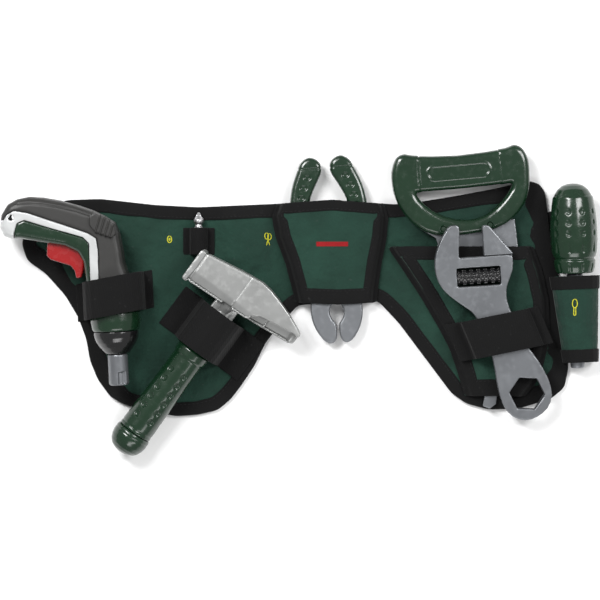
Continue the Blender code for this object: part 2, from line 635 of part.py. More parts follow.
def make_drill():
    frame = tool_frame("drill", DRILL_AT)
    bore = cut_cylinder("nose_bore", BORE_R, (DRILL_AXIS_X, 60, 0), (DRILL_AXIS_X, 72, 0), frame)
    slot = cut_slab("trigger_room", [TRIGGER_ROOM], -TRIGGER_HALF - 0.6, TRIGGER_HALF + 0.6, frame)
    lanyard = cut_cylinder("lanyard_hole", 2.6, (-86, 155.4, -30), (-86, 155.4, 30), frame)
    screws = ((12, 86), (2, 138), (-62, 163))
    wells = [cut_cylinder(f"screw_well_{i}", 3.0, (x, y, -30), (x, y, -6), frame)
             for i, (x, y) in enumerate(screws)]
    cut(case_piece("drill_case_front", True, "grey_rubber", frame, drop=BODY_CUT), bore)
    cut(case_piece("drill_case_back", False, "grey_rubber", frame, drop=BODY_CUT), bore, *wells)
    for side, front in (("front", True), ("back", False)):
        trim = case_piece("drill_trim_" + side, front, "white_plastic", frame, keep=TRIM_OUTLINE)
        cut(trim, lanyard, slot)
        panel = case_piece("drill_grip_panel_" + side, front, "green_plastic", frame, keep=PANEL_CUT)
        cut(panel, slot)
    for i, (x, y) in enumerate(screws):
        rod(f"drill_screw_{i + 1}", 2.6, (x, y, -18.4), (x, y, -7.0), "steel", frame, steps=12)

    trigger = tool_frame("trigger", DRILL_AT)
    plate("drill_trigger", [TRIGGER_OUTLINE], -TRIGGER_HALF, TRIGGER_HALF, "red_plastic", trigger, 1.5)
    coil = bpy.data.curves.new("trigger_spring", "CURVE")
    coil.dimensions = "3D"
    coil.bevel_depth = 0.45 * MM
    coil.bevel_resolution = 2
    coil.use_fill_caps = True
    turns, per_turn, radius, length = 3, 10, 2.6, 4.6
    thread = coil.splines.new("POLY")
    thread.points.add(turns * per_turn)
    for k, point in enumerate(thread.points):
        angle = 2 * math.pi * k / per_turn
        along = length * k / (turns * per_turn)
        point.co = (radius * math.cos(angle) * MM, along * MM, radius * math.sin(angle) * MM, 1)
    spring = bpy.data.objects.new("spring_blank", coil)
    CUTTERS.objects.link(spring)
    bm = applied(spring)
    bmesh.ops.remove_doubles(bm, verts=bm.verts, dist=1e-3)
    bmesh.ops.rotate(bm, verts=bm.verts, matrix=Matrix.Rotation(math.radians(-20), 3, "Z"))
    bmesh.ops.translate(bm, verts=bm.verts, vec=(-22.0, 125.2, 0))
    add("trigger_spring", bm, "steel", trigger)

    switch = fillet_loop([(-16.5, 144.5, 2), (-12.5, 139, 2), (3, 132.5, 2.5), (6.8, 136, 2.5),
                          (5.5, 144.5, 3), (0, 150.5, 3), (-11.5, 156, 2.5), (-16.5, 152.5, 2)])
    plate("direction_switch", [switch], CASE_HALF + FIT, CASE_HALF + 3.4, "grey_rubber", frame, 0.9)

    rod("drill_motor", 10.2, (DRILL_AXIS_X, 76, 0), (DRILL_AXIS_X, 97, 0), "steel", frame)
    for side, z in (("front", 7.5), ("back", -7.5)):
        rod("battery_" + side, 7.1, (-83.5, 154.5, z), (-35.5, 144.3, z), "battery", frame)

    centre = (DRILL_AXIS_X, 0.0)
    ring = [(NOSE_R - 1, 67.0), (NOSE_R, 65.0), (NOSE_R + 0.4, 58.0), (NOSE_R - 1, 50.0),
            (NOSE_R - 2, 49.0), (BORE_R, 49.0), (BORE_R, 67.0)]
    add("nose_ring", turned(ring, 28, centre), "green_plastic", frame)
    cone = [(20.0, 48.7), (20.0, 44.0), (18.5, 39.5), (15.0, 34.0), (11.6, 30.0), (10.2, 28.6),
            (BORE_R, 28.6), (BORE_R, 48.7)]
    add("nose_cone", turned(cone, 28, centre), "black_plastic", frame)
    holder_profile = [(0, 28.2), (8.4, 28.2), (9.0, 26.5), (9.0, 2.0), (7.6, 0.0), (0, 0.0)]
    holder = add("bit_holder", turned(holder_profile, 20, centre), "silver_plastic", frame)
    socket = cut_cylinder("bit_socket", 4.2, (DRILL_AXIS_X, -1, 0), (DRILL_AXIS_X, 15, 0), frame, steps=6)
    cut(holder, socket)
    rod("drill_spindle", SPINDLE_R, (DRILL_AXIS_X, 28.5, 0), (DRILL_AXIS_X, 75.7, 0), "steel", frame, 12)


def make_hammer():
    frame = tool_frame("hammer", HAMMER_AT)
    grip = [(15.2, 125), (15.2, 98), (14.4, 96), (15.8, 94), (15.8, 88), (14.6, 86), (14.6, 70),
            (15.0, 40), (15.6, 14), (15.6, 9), (14.8, 8), (15.8, 6.4), (15.8, 4.6), (CORE_BORE, 4.6),
            (CORE_BORE, 125)]
    add("hammer_grip", turned(grip, 24), "green_plastic", frame)
    cap = [(0, -18.2), (6, -17.4), (11.5, -14.5), (15.2, -9.5), (16.8, -3), (16.8, 2), (15.8, 4.2),
           (CORE_BORE, 4.2), (CORE_BORE, -8), (0, -8)]
    add("hammer_end_cap", turned(cap, 24), "green_plastic", frame)
    rod("hammer_core", CORE_BORE - 0.4, (0, -7.6, 0), (0, 158, 0), "steel", frame, 12)

    upper = [(-46, 172), (-46, 144.5), (-41, 143.5), (20, 147), (29, 156), (62, 161.5), (68.5, 160.5),
             (68.5, 164), (61, 168), (50, 172.6), (37, 177), (25, 180.4), (14, 181.8), (-7, 179), (-41, 173)]
    lower = [(-46, 172), (-46, 144.5), (-41, 143), (29, 146.8), (63, 150), (67.5, 152), (68, 158),
             (61, 165), (50, 171.5), (37, 176), (25, 179.6), (14, 181), (-7, 178.5), (-41, 172.5)]
    head = add("hammer_head", slab([upper], 0.0, HEAD_HALF), "silver_plastic", frame)
    rim = fillet_loop([(-47.5, 142, 2), (-42, 142, 1), (-42, 173.5, 1), (-47.5, 173.5, 2)])
    parts = [cut_slab("head_lower", [lower], -HEAD_HALF, 0.5, frame),
             cut_slab("head_rim", [rim], -HEAD_HALF - 1, HEAD_HALF + 1, frame),
             cut_cylinder("head_neck", 12.0, (0, 126, 0), (0, 150, 0), frame, steps=20)]
    join(head, *parts)
    notch = cut_slab("claw_notch", [[(38, 140), (80, 140), (80, 190), (38, 190)]], -2.0, 2.0, frame)
    cut(head, notch, cut_cylinder("core_bore", CORE_BORE, (0, 120, 0), (0, 159, 0), frame))
    bevel(head, 1.6, 1, 50)


def make_pliers():
    handle = smooth_loop([(-22, 103), (-14, 107.5), (-5.5, 103), (-4, 94), (-10, 82), (-16.5, 68),
                          (-17.5, 54), (-14, 40), (-17, 33.5), (-26, 33), (-33, 46), (-35, 62),
                          (-32, 80), (-26.5, 94)])
    jaw = smooth_loop([(-10, -6), (-17, -9), (-22, -20), (-23.5, -34), (-20, -48), (-12, -59.5), (-5, -61),
                       (-1.2, -55), (-1.2, -45), (-4.6, -39.5), (-6.4, -33.5), (-4.6, -27.5), (-1.2, -24),
                       (-1.0, -16)])
    arm = [(4, 13), (13.5, 3), (23, 18), (27.5, 33), (28, 50), (22.5, 51), (20.5, 38), (14, 27)]
    for side, flip, layer in (("left", 1, (PARTING, 5.2)), ("right", -1, (-5.2, -PARTING))):
        frame = tool_frame("jaw_" + side, PLIERS_AT)

        def mirrored(points, flip=flip):
            return [(flip * x, y) for x, y in points][::flip]
        half = plate("jaw_half_" + side, [circle(0, 0, 13.6, 24)], *layer, "silver_plastic", frame, 0.9, 1)
        low, high = layer
        arm_z = (low + 0.3, high - 1.6) if flip > 0 else (low + 1.6, high - 0.3)
        jaw_solid = cut_slab("jaw_blank_" + side, [mirrored(jaw)], -4.95, 4.95, frame)
        arm_solid = cut_slab("arm_blank_" + side, [mirrored(arm)], *arm_z, frame)
        other = (-7, PARTING + 0.2) if flip > 0 else (-PARTING - 0.2, 7)
        lap = cut_slab("lap_" + side, [circle(0, 0, 14.2, 24)], *other, frame)
        bevel(jaw_solid, 1.2, 1, 50)
        cut(jaw_solid, lap)
        join(half, jaw_solid, arm_solid)
        cut(half, cut_cylinder("pin_hole_" + side, 3.6, (0, 0, -8), (0, 0, 8), frame))
        grip = add("plier_grip_" + side, slab([mirrored([(-x, y) for x, y in handle][::-1])], -5.2, 5.2),
                   "green_plastic", frame)
        room = cut_slab("arm_room_" + side, [offset_loop(mirrored(arm), 0.3)],
                        arm_z[0] - 0.3, arm_z[1] + 0.3, frame)
        bevel(grip, 3.4, 2, 50)
        cut(grip, room)
    frame = tool_frame("pliers", PLIERS_AT)
    rod("plier_pin", 3.3, (0, 0, -5.1), (0, 0, 5.1), "steel", frame)


def make_saw():
    frame = tool_frame("saw", SAW_AT)
    teeth, deep = 15, 4.0
    start, end = Vector((-33.0, -20.0)), Vector((1.0, -152.0))
    inward = Vector((end - start).yx).normalized() * deep
    inward = Vector((-inward.x, inward.y))
    outline = [(-41, 6.5), (-27.4, -3), (-26, -9)]
    for k in range(teeth):
        outline.append(tuple(start + (end - start) * (k / teeth)))
        outline.append(tuple(start + (end - start) * ((k + 0.8) / teeth) + inward))
    outline += [(2, -158), (8, -161), (14, -157), (46, -22), (45, 8), (30, 6.5), (-30, 6.5)]
    blade = plate("saw_blade", [outline], -2.0, 2.0, "silver_plastic", frame)
    outer = smooth_loop([(-62, 60), (-57, 72), (-49, 75), (-42, 73), (-2, 70), (42, 72.5), (49, 75),
                         (57, 71), (61.5, 60), (61.5, 46), (60, 33), (54.5, 20.5), (43, 8.5), (27, 0.8),
                         (0, -2.4), (-27, -0.6), (-42.5, 7.7), (-53.5, 20), (-60.5, 35), (-62.5, 48)], 2)
    inner = smooth_loop([(-41.5, 38), (-35, 28), (-19, 16.2), (1.6, 11), (19.3, 13.9), (34.2, 24.8),
                         (43, 35), (45, 40.5), (38, 40), (0, 38.8), (-36, 39)], 2)
    room = cut_slab("blade_room", [offset_loop(outline, 0.3)], -2.3, 2.3, frame)
    rivets = ((-20.0, 4.6), (22.0, 4.6))
    holes = [cut_cylinder(f"rivet_hole_{i}", 2.5, (x, y, -12), (x, y, 12), frame, 12)
             for i, (x, y) in enumerate(rivets)]
    bm = half_blank(outer, SAW_HANDLE_HALF, 4.6, True, holes=(inner,))
    front = applied(cut(add("handle_blank", bm, "green_plastic", frame), room, *holes))
    back = front.copy()
    bmesh.ops.scale(back, vec=(1, 1, -1), verts=back.verts)
    add("saw_handle_front", front, "green_plastic", frame)
    add("saw_handle_back", back, "green_plastic", frame)
    cut(blade, *holes)
    for i, (x, y) in enumerate(rivets):
        rod(f"saw_rivet_{i + 1}", 2.2, (x, y, -8.0), (x, y, 8.0), "steel", frame, 12)


def make_wrench():
    frame = tool_frame("wrench", WRENCH_AT)
    tilt = math.radians(WORM_TILT)
    u = Vector((math.cos(tilt), math.sin(tilt)))
    v = Vector((-u.y, u.x))

    def local(points):
        return [tuple(Vector(WORM_CENTRE) + u * a + v * b) for a, b in points]
    outline = smooth_loop([(-9.5, 164.6), (-3, 164.8), (0.6, 161.5), (-4.6, 149), (-9.6, 137.5), (-7, 135.2),
                           (12, 128.6), (31.5, 122.2), (34.5, 118), (30, 107.5), (21, 97.5), (16.5, 89),
                           (14.6, 77), (15.6, 57), (17, 38), (20.5, 24), (22.6, 6), (20, -10), (11.7, -19.5),
                           (0, -23), (-11, -21.7), (-20.1, -14), (-23.6, -2), (-22, 15), (-18.6, 30),
                           (-16, 45), (-15, 63), (-16.6, 83), (-21, 92), (-28, 103), (-34.2, 116),
                           (-35, 129), (-31, 142), (-22.5, 153.5)], 2)
    turn = math.radians(34)
    hexagon = [(HEX_R * math.cos(turn + k * math.pi / 3), HEX_R * math.sin(turn + k * math.pi / 3))
               for k in range(6)]
    window = local([(-19.5, -8.4), (19.5, -8.4), (19.5, 8.4), (-19.5, 8.4)])
    body = plate("wrench_body", [outline, hexagon, window], -WRENCH_HALF, WRENCH_HALF,
                 "silver_plastic", frame)
    channel_outline = local([(-17, 10.6), (45, 10.6), (45, 22), (-17, 22)])
    channel = cut_slab("jaw_channel", [channel_outline], -2.6, 2.6, frame)
    ends = [tuple(Vector(WORM_CENTRE) + u * a) + (0.0,) for a in (-26.5, 40.0)]
    cut(body, channel, cut_cylinder("pin_bore", 2.3, *ends, frame, 12))
    bevel(body, 1.0, 1, 50)

    jaw_frame = tool_frame("wrench_jaw_frame", WRENCH_AT)
    jaw_outline = local([(5.9, JAW_FLOOR), (32, JAW_FLOOR), (32, 19), (11.8, 45), (8, 45.8), (5.9, 44)])
    jaw = plate("wrench_jaw", [jaw_outline], -WRENCH_HALF, WRENCH_HALF, "silver_plastic", jaw_frame, 0.9, 1)
    foot_outline = local([(6.5, 11.0), (31.5, 11.0), (31.5, 20), (6.5, 20)])
    foot = cut_slab("jaw_foot", [foot_outline], -2.2, 2.2, jaw_frame)
    join(jaw, foot)

    worm_frame = tool_frame("worm_frame", WRENCH_AT)
    profile = [(PIN_BORE, 19.0), (6.6, 19.0)]
    grooves = 6
    for k in range(grooves):
        y = 19.0 - (k + 0.5) * 38.0 / grooves
        profile += [(7.3, y + 2.2), (7.3, y - 0.6), (6.2, y - 1.8)]
    profile += [(6.6, -19.0), (PIN_BORE, -19.0)]
    worm = turned(profile, 16)
    turn = Matrix.Rotation(tilt - math.pi / 2, 3, "Z")
    bmesh.ops.rotate(worm, verts=worm.verts, matrix=turn)
    bmesh.ops.translate(worm, verts=worm.verts, vec=(*WORM_CENTRE, 0))
    add("wrench_worm", worm, "black_plastic", worm_frame)
    ends = [tuple(Vector(WORM_CENTRE) + u * a) + (0.0,) for a in (-25.5, 25.0)]
    rod("worm_pin", 1.9, *ends, "steel", frame, 12)


def make_driver():
    frame = tool_frame("driver", DRIVER_AT)
    handle = [(0, 167.5), (8, 166), (14, 161.5), (17.6, 154), (19.8, 143), (21.0, 129), (21.0, 114),
              (19.8, 104), (18.6, 101.2), (17.6, 99.6), (18.6, 98), (17.8, 91), (16.4, 86.8), (4.4, 86.8),
              (4.4, 140), (0, 140)]
    add("driver_handle", turned(handle, 26), "green_plastic", frame)
    shaft = [(0, 139.5), (4.0, 139.5), (4.0, 86.4), (7.0, 86.4), (7.0, 9), (6.0, 1), (0, 1)]
    add("driver_shaft", turned(shaft, 18), "silver_plastic", frame)


def make_bit():
    frame = tool_frame("spare_bit_frame", BIT_AT)
    bit = [(0, 34.7), (1.3, 34), (2.6, 31.2), (4.7, 28.4), (4.7, 26.4), (3.3, 23.4), (4.5, 20), (4.5, 2),
           (3.8, 1), (0, 1)]
    add("spare_bit", turned(bit, 12), "steel", frame)


make_drill()
make_hammer()
make_pliers()
make_saw()
make_wrench()
make_driver()
make_bit()
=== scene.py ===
"""Looks of the toy tool belt: cloth, ribbon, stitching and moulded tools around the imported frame.

Shape functions work in millimetres, in a tool's own axes (+Y out of its holder, +Z away from the
belt); meshes are in metres, in the frame's axes.
"""

import math

import bmesh
import bpy
from mathutils import Matrix, Vector, noise
from mathutils.bvhtree import BVHTree


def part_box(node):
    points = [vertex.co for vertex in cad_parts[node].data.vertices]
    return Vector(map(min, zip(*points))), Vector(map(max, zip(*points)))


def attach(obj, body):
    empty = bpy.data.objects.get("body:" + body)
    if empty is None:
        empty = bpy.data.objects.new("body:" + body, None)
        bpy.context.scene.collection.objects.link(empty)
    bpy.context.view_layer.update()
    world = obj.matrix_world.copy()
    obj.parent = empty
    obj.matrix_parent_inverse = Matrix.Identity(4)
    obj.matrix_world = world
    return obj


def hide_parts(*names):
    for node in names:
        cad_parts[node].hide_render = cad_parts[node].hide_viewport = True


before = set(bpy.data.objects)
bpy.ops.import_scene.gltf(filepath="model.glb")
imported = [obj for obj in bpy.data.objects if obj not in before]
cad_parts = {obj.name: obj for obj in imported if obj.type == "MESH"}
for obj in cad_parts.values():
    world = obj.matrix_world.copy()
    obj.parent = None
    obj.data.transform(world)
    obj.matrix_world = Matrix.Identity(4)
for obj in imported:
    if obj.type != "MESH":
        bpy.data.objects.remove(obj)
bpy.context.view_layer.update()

MM = 0.001
SKY = 0.1              # a height above the whole belt, in metres, from which rays are cast down
DOWN = Vector((0, 0, -1))
UP = Vector((0, 0, 1))
ROOT_AT = Vector((-1.0, 1.2, 1.2))   # the CAD's own shift, which puts the belt on the floor

# Each tool's origin, yaw and pitch, as in the CAD
TOOL_AT = {
    "drill": ((-163.3, -77.9, 25.0), 3.0, 2.5),
    "hammer": ((-151.2, -122.9, 20.7), -36.4, 4.4),
    "pliers": ((30.6, 21.2, 10.6), 4.5, 0.0),
    "saw": ((149.4, 59.9, 13.6), 5.0, 2.3),
    "wrench": ((203.9, -85.0, 19.4), 22.7, 3.9),
    "driver": ((250.2, -63.5, 15.4), 2.0, 3.7),
    "bit": ((-91.5, 43.0, 10.4), 0.0, 0.0),
}


def placed(tool):
    """The matrix from a tool's millimetres to the frame's metres."""
    (x, y, z), yaw, pitch = TOOL_AT[tool]
    shift = Matrix.Translation((Vector((x, y, z)) + ROOT_AT) * MM)
    turn = Matrix.Rotation(math.radians(yaw), 4, "Z") @ Matrix.Rotation(math.radians(pitch), 4, "X")
    return shift @ turn @ Matrix.Scale(MM, 4)


def ease(value):
    """0 below 0, 1 above 1 and smooth between."""
    value = min(max(value, 0.0), 1.0)
    return value * value * (3.0 - 2.0 * value)


def band(value, low, high, soft):
    """1 between low and high, falling to 0 over soft outside them."""
    return ease((value - low) / soft + 1.0) * ease((high - value) / soft + 1.0)


# ---- materials --------------------

def add_node(tree, kind, inputs=None, **settings):
    """A node with its settings and inputs; an input is a value or another node's socket."""
    made = tree.nodes.new(kind)
    for key, value in settings.items():
        setattr(made, key, value)
    for key, value in (inputs or {}).items():
        if isinstance(value, bpy.types.NodeSocket):
            tree.links.new(value, made.inputs[key])
        else:
            made.inputs[key].default_value = value
    return made


def start_material(name, roughness, metallic=0.0, sheen=0.0, coat=0.0):
    """A material, its node tree, its shader and its object coordinates."""
    made = bpy.data.materials.new(name)
    made.use_nodes = True
    tree = made.node_tree
    shader = tree.nodes["Principled BSDF"]
    shader.inputs["Roughness"].default_value = roughness
    shader.inputs["Metallic"].default_value = metallic
    shader.inputs["Sheen Weight"].default_value = sheen
    shader.inputs["Sheen Roughness"].default_value = 0.5
    shader.inputs["Coat Weight"].default_value = coat
    shader.inputs["Coat Roughness"].default_value = 0.12
    return made, tree, shader, add_node(tree, "ShaderNodeTexCoord").outputs["Object"]


def add_noise(tree, where, size, detail=3.0):
    """Noise whose features are about size mm across."""
    inputs = {"Vector": where, "Scale": 1.0 / (size * MM), "Detail": detail}
    made = add_node(tree, "ShaderNodeTexNoise", inputs)
    return made.outputs["Fac"]


def add_math(tree, operation, a, b=0.0):
    """One arithmetic step on two values or sockets."""
    return add_node(tree, "ShaderNodeMath", {0: a, 1: b}, operation=operation).outputs[0]


def add_mix(tree, factor, low, high):
    """The colour low where factor is 0 and high where it is 1."""
    made = add_node(tree, "ShaderNodeMix", {"Factor": factor}, data_type="RGBA")
    for socket, value in (("A", low), ("B", high)):
        entry = [i for i in made.inputs if i.name == socket and i.type == "RGBA"][0]
        if isinstance(value, bpy.types.NodeSocket):
            tree.links.new(value, entry)
        else:
            entry.default_value = value
    return [o for o in made.outputs if o.type == "RGBA"][0]


def add_wave(tree, where, axis, period):
    """A sine wave from 0 to 1 along an axis, repeating every period mm."""
    scale = 2 * math.pi / (20.0 * period * MM)
    inputs = {"Vector": where, "Scale": scale}
    return add_node(tree, "ShaderNodeTexWave", inputs, bands_direction=axis).outputs["Fac"]


def add_spread(tree, value, low, high):
    """Stretches the part of value from low to high over 0 to 1."""
    inputs = {"Value": value, "From Min": low, "From Max": high}
    return add_node(tree, "ShaderNodeMapRange", inputs).outputs["Result"]


def shade(colour, factor):
    """The colour made lighter or darker, with an alpha of 1."""
    return (*[min(c * factor, 1.0) for c in colour], 1.0)


def woven(name, colour, thread, turn=0.0, sheen=0.35, relief=0.16, fold=0.6, ribs=None):
    """Woven cloth; turn is the weave's angle, and ribs names the one axis of ribbon or elastic."""
    made, tree, shader, where = start_material(name, 0.88, sheen=sheen)
    shader.inputs["Specular IOR Level"].default_value = 0.22
    where = add_node(tree, "ShaderNodeMapping", {"Vector": where, "Rotation": (0, 0, math.radians(turn))})
    where = where.outputs["Vector"]
    bend = add_node(tree, "ShaderNodeTexNoise", {"Vector": where, "Scale": 90.0, "Detail": 1.0})
    bend = add_node(tree, "ShaderNodeVectorMath", {0: bend.outputs["Color"], "Scale": 0.9 * MM},
                    operation="SCALE")
    where = add_node(tree, "ShaderNodeVectorMath", {0: where, 1: bend.outputs[0]}, operation="ADD")
    where = where.outputs[0]
    if ribs:
        other = "Y" if ribs == "X" else "X"
        weave = add_wave(tree, where, ribs, thread)
        cross = add_math(tree, "MULTIPLY_ADD", add_wave(tree, where, other, thread * 0.45), 0.3)
        weave = add_math(tree, "MULTIPLY", weave, cross)
    else:
        warp = add_wave(tree, where, "X", thread)
        weft = add_wave(tree, where, "Y", thread)
        weave = add_math(tree, "ABSOLUTE", add_math(tree, "SUBTRACT", warp, weft))
    slub = add_noise(tree, where, thread * 1.7, 2.0)
    patch = add_noise(tree, where, 38.0, 4.0)
    lint = add_spread(tree, add_noise(tree, where, 3.2, 5.0), 0.66, 0.8)
    tone = add_mix(tree, add_spread(tree, patch, 0.3, 0.7), shade(colour, 0.62), shade(colour, 1.25))
    # painted shade: where the weave is low, in the gaps between threads, the colour darkens towards half the
    # cloth's own
    weave_gap_shade = add_mix(tree, add_spread(tree, weave, 0.0, 0.75), shade(colour, 0.52), tone)
    pale = add_math(tree, "MULTIPLY", lint, 0.16)
    grey = sum(colour) / 3
    fluff = 0.6 * grey + 0.1
    final = add_mix(tree, pale, weave_gap_shade, shade((fluff, fluff, fluff), 1.0))
    tree.links.new(final, shader.inputs["Base Color"])
    height = add_math(tree, "ADD", weave, add_math(tree, "MULTIPLY", slub, 0.55))
    crease = add_math(tree, "ADD", add_noise(tree, where, 17.0, 3.0), add_noise(tree, where, 45.0, 1.0))
    folds = add_node(tree, "ShaderNodeBump", {"Height": crease, "Strength": 1.0, "Distance": fold * MM})
    bump = add_node(tree, "ShaderNodeBump", {"Height": height, "Strength": 0.75, "Distance": relief * MM,
                                             "Normal": folds.outputs["Normal"]})
    tree.links.new(bump.outputs["Normal"], shader.inputs["Normal"])
    return made


def moulded(name, colour, roughness, metallic=0.0, grain=0.35, relief=0.02, coat=0.0, wear=0.12,
            spread=0.1):
    """Moulded plastic or metal: fine grain, uneven gloss, handling scuffs and paler worn edges."""
    made, tree, shader, where = start_material(name, roughness, metallic, coat=coat)
    cloud = add_spread(tree, add_noise(tree, where, 30.0, 4.0), 0.3, 0.7)
    tone = add_mix(tree, cloud, shade(colour, 1.0 - spread), shade(colour, 1.0 + spread))
    edge = add_node(tree, "ShaderNodeNewGeometry").outputs["Pointiness"]
    edge = add_spread(tree, edge, 0.53, 0.62)
    scuff = add_spread(tree, add_noise(tree, where, 5.0, 6.0), 0.5, 0.75)
    rubbed = add_math(tree, "ADD", scuff, 0.4)
    edge = add_math(tree, "MULTIPLY", add_math(tree, "MULTIPLY", edge, rubbed), wear)
    pale = [0.6 * c + 0.32 for c in colour]
    final = add_mix(tree, edge, tone, shade(pale, 1.0))
    tree.links.new(final, shader.inputs["Base Color"])
    gloss = add_math(tree, "MULTIPLY_ADD", scuff, 0.14)
    gloss.node.inputs[2].default_value = roughness
    tree.links.new(gloss, shader.inputs["Roughness"])
    skin = add_math(tree, "ADD", add_noise(tree, where, grain, 2.0),
                    add_math(tree, "MULTIPLY", add_noise(tree, where, 4.0, 2.0), 0.8))
    bump = add_node(tree, "ShaderNodeBump", {"Height": skin, "Strength": 0.6, "Distance": relief * MM})
    tree.links.new(bump.outputs["Normal"], shader.inputs["Normal"])
    return made


GREEN = (0.0125, 0.045, 0.031)
BLACK = (0.0036, 0.0036, 0.0038)
LOOKS = {
    "green_fabric": woven("green_fabric", GREEN, 0.95, turn=4.0, sheen=0.08, fold=5.0),
    "black_tape": woven("black_tape", BLACK, 1.3, turn=38.0, sheen=0.03, ribs="X"),
    "elastic": woven("elastic", BLACK, 1.5, turn=8.0, sheen=0.03, relief=0.28, ribs="X"),
    "webbing": woven("webbing", (0.008, 0.008, 0.009), 1.8, sheen=0.04, relief=0.3, ribs="Y"),
    "hook_loop": woven("hook_loop", (0.012, 0.012, 0.013), 1.1, turn=45.0, sheen=0.15, relief=0.5),
    "thread": woven("thread", (0.011, 0.011, 0.012), 0.5, sheen=0.05),
    "yellow_thread": woven("yellow_thread", (0.62, 0.6, 0.03), 0.5, sheen=0.05, relief=0.05),
    "red_thread": woven("red_thread", (0.3, 0.009, 0.012), 0.8, sheen=0.05, relief=0.08, ribs="X"),
    "green_plastic": moulded("green_plastic", (0.0046, 0.0215, 0.0088), 0.2, coat=0.2, relief=0.006,
                             wear=0.03),
    "silver_plastic": moulded("silver_plastic", (0.172, 0.18, 0.192), 0.34, metallic=0.6, grain=0.25),
    "silver_paint": moulded("silver_paint", (0.33, 0.335, 0.33), 0.34, metallic=0.6, grain=0.25),
    "red_plastic": moulded("red_plastic", (0.27, 0.004, 0.005), 0.25, coat=0.25),
    "white_plastic": moulded("white_plastic", (0.5, 0.51, 0.51), 0.3, metallic=0.2, coat=0.2),
    "grey_rubber": moulded("grey_rubber", (0.0125, 0.012, 0.011), 0.45, grain=0.5, relief=0.04, wear=0.03),
    "black_plastic": moulded("black_plastic", (0.006, 0.006, 0.0065), 0.16, coat=0.3),
    "steel": moulded("steel", (0.5, 0.5, 0.51), 0.28, metallic=1.0, grain=0.3),
    "battery": moulded("battery", (0.1, 0.1, 0.1), 0.4),
}


# ---- mesh helpers --------------------

def new_object(name, bm):
    """An object in the scene with the bmesh's faces; the bmesh is freed."""
    mesh = bpy.data.meshes.new(name)
    bm.to_mesh(mesh)
    bm.free()
    obj = bpy.data.objects.new(name, mesh)
    bpy.context.scene.collection.objects.link(obj)
    return obj


def baked(work):
    """The bmesh of an object after its modifiers; the object is removed."""
    mesh = work.data
    done = bpy.data.meshes.new_from_object(work.evaluated_get(bpy.context.evaluated_depsgraph_get()))
    out = bmesh.new()
    out.from_mesh(done)
    bpy.data.objects.remove(work, do_unlink=True)
    bpy.data.meshes.remove(mesh)
    bpy.data.meshes.remove(done)
    return out


def make(name, bm, look, body, stands_for=(), flat_angle=None):
    """Turns a bmesh in the frame's metres into a piece that rides on a body."""
    obj = new_object(name, bm)
    obj.data.materials.append(LOOKS[look])
    obj.data.shade_smooth()
    if flat_angle:
        obj.data.set_sharp_from_angle(angle=math.radians(flat_angle))
    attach(obj, body)
    if stands_for:
        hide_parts(*stands_for)
    return obj


def joined(node):
    """A bmesh of a CAD node whose split corners are one vertex again."""
    bm = bmesh.new()
    bm.from_mesh(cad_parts[node].data)
    bmesh.ops.remove_doubles(bm, verts=bm.verts, dist=1e-6)
    return bm


def tree_of(*nodes):
    """A search tree over CAD nodes."""
    whole = bmesh.new()
    for node in nodes:
        whole.from_mesh(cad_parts[node].data)
    tree = BVHTree.FromBMesh(whole)
    whole.free()
    return tree


def tree_over(pieces):
    """A search tree over pieces that are already made."""
    whole = bmesh.new()
    for piece in pieces:
        whole.from_mesh(piece.data)
    tree = BVHTree.FromBMesh(whole)
    whole.free()
    return tree


def dropped(tree, place):
    """The first point of a search tree straight below a place in the floor's plane, or None."""
    return tree.ray_cast(Vector((place.x, place.y, SKY)), DOWN)[0]


def bridge(bm, rings):
    """Joins rings of vertices, each to the next."""
    for ring, following in zip(rings, rings[1:]):
        for k in range(len(ring)):
            j = (k + 1) % len(ring)
            bm.faces.new((ring[k], ring[j], following[j], following[k]))


def bridge_round(bm, rings):
    """Joins rings of vertices, each to the next and the last to the first, into a closed band."""
    bridge(bm, rings + rings[:1])
    bmesh.ops.recalc_face_normals(bm, faces=bm.faces)


def evaluated(bm, *modifiers):
    """The bmesh after modifiers, each a type and its settings."""
    work = new_object("work", bm)
    for kind, settings in modifiers:
        mod = work.modifiers.new(kind, kind)
        for key, value in settings.items():
            setattr(mod, key, value)
    bpy.context.view_layer.update()
    return baked(work)


def even(node, square, rounds, factor=0.5):
    """The CAD node remade from even squares, in mm, with its edges rounded by smoothing."""
    return evaluated(joined(node),
                     ("REMESH", {"mode": "VOXEL", "voxel_size": square * MM}),
                     ("SMOOTH", {"factor": factor, "iterations": rounds}))


def sculpt(bm, tool, relief):
    """Moves each vertex along its normal by relief(x, y, z, normal), all in the tool's millimetres."""
    inverse = placed(tool).inverted()
    turn = inverse.to_3x3().normalized()
    bm.normal_update()
    moves = []
    for vert in bm.verts:
        local = inverse @ vert.co
        amount = relief(local.x, local.y, local.z, turn @ vert.normal)
        moves.append(vert.normal * (amount * MM))
    for vert, move in zip(bm.verts, moves):
        vert.co += move
    return bm


def formed(name, node, square, rounds, look, body, relief=None, tool=None):
    """A piece in the shape of a CAD node, with its edges rounded and a relief; see even and sculpt."""
    bm = even(node, square, rounds)
    if relief:
        bm = sculpt(bm, tool or body, relief)
    return make(name, bm, look, body, [node])


def resampled(points, step):
    """The open line through points, with a point at least every step."""
    out = []
    for a, b in zip(points, points[1:]):
        count = max(1, math.ceil((Vector(b) - Vector(a)).length / step))
        out += [tuple(Vector(a).lerp(Vector(b), k / count)) for k in range(count)]
    return out + [tuple(points[-1])]


def softened(points, rounds, closed=False):
    """The line with its corners rounded by averaging; an open line keeps its ends."""
    line = [Vector(p) for p in points]
    for _ in range(rounds):
        before = line[-1:] + line[:-1]
        after = line[1:] + line[:1]
        mixed = [(a + 2 * p + b) / 4 for a, p, b in zip(before, line, after)]
        if not closed:
            mixed[0], mixed[-1] = line[0], line[-1]
        line = mixed
    return line


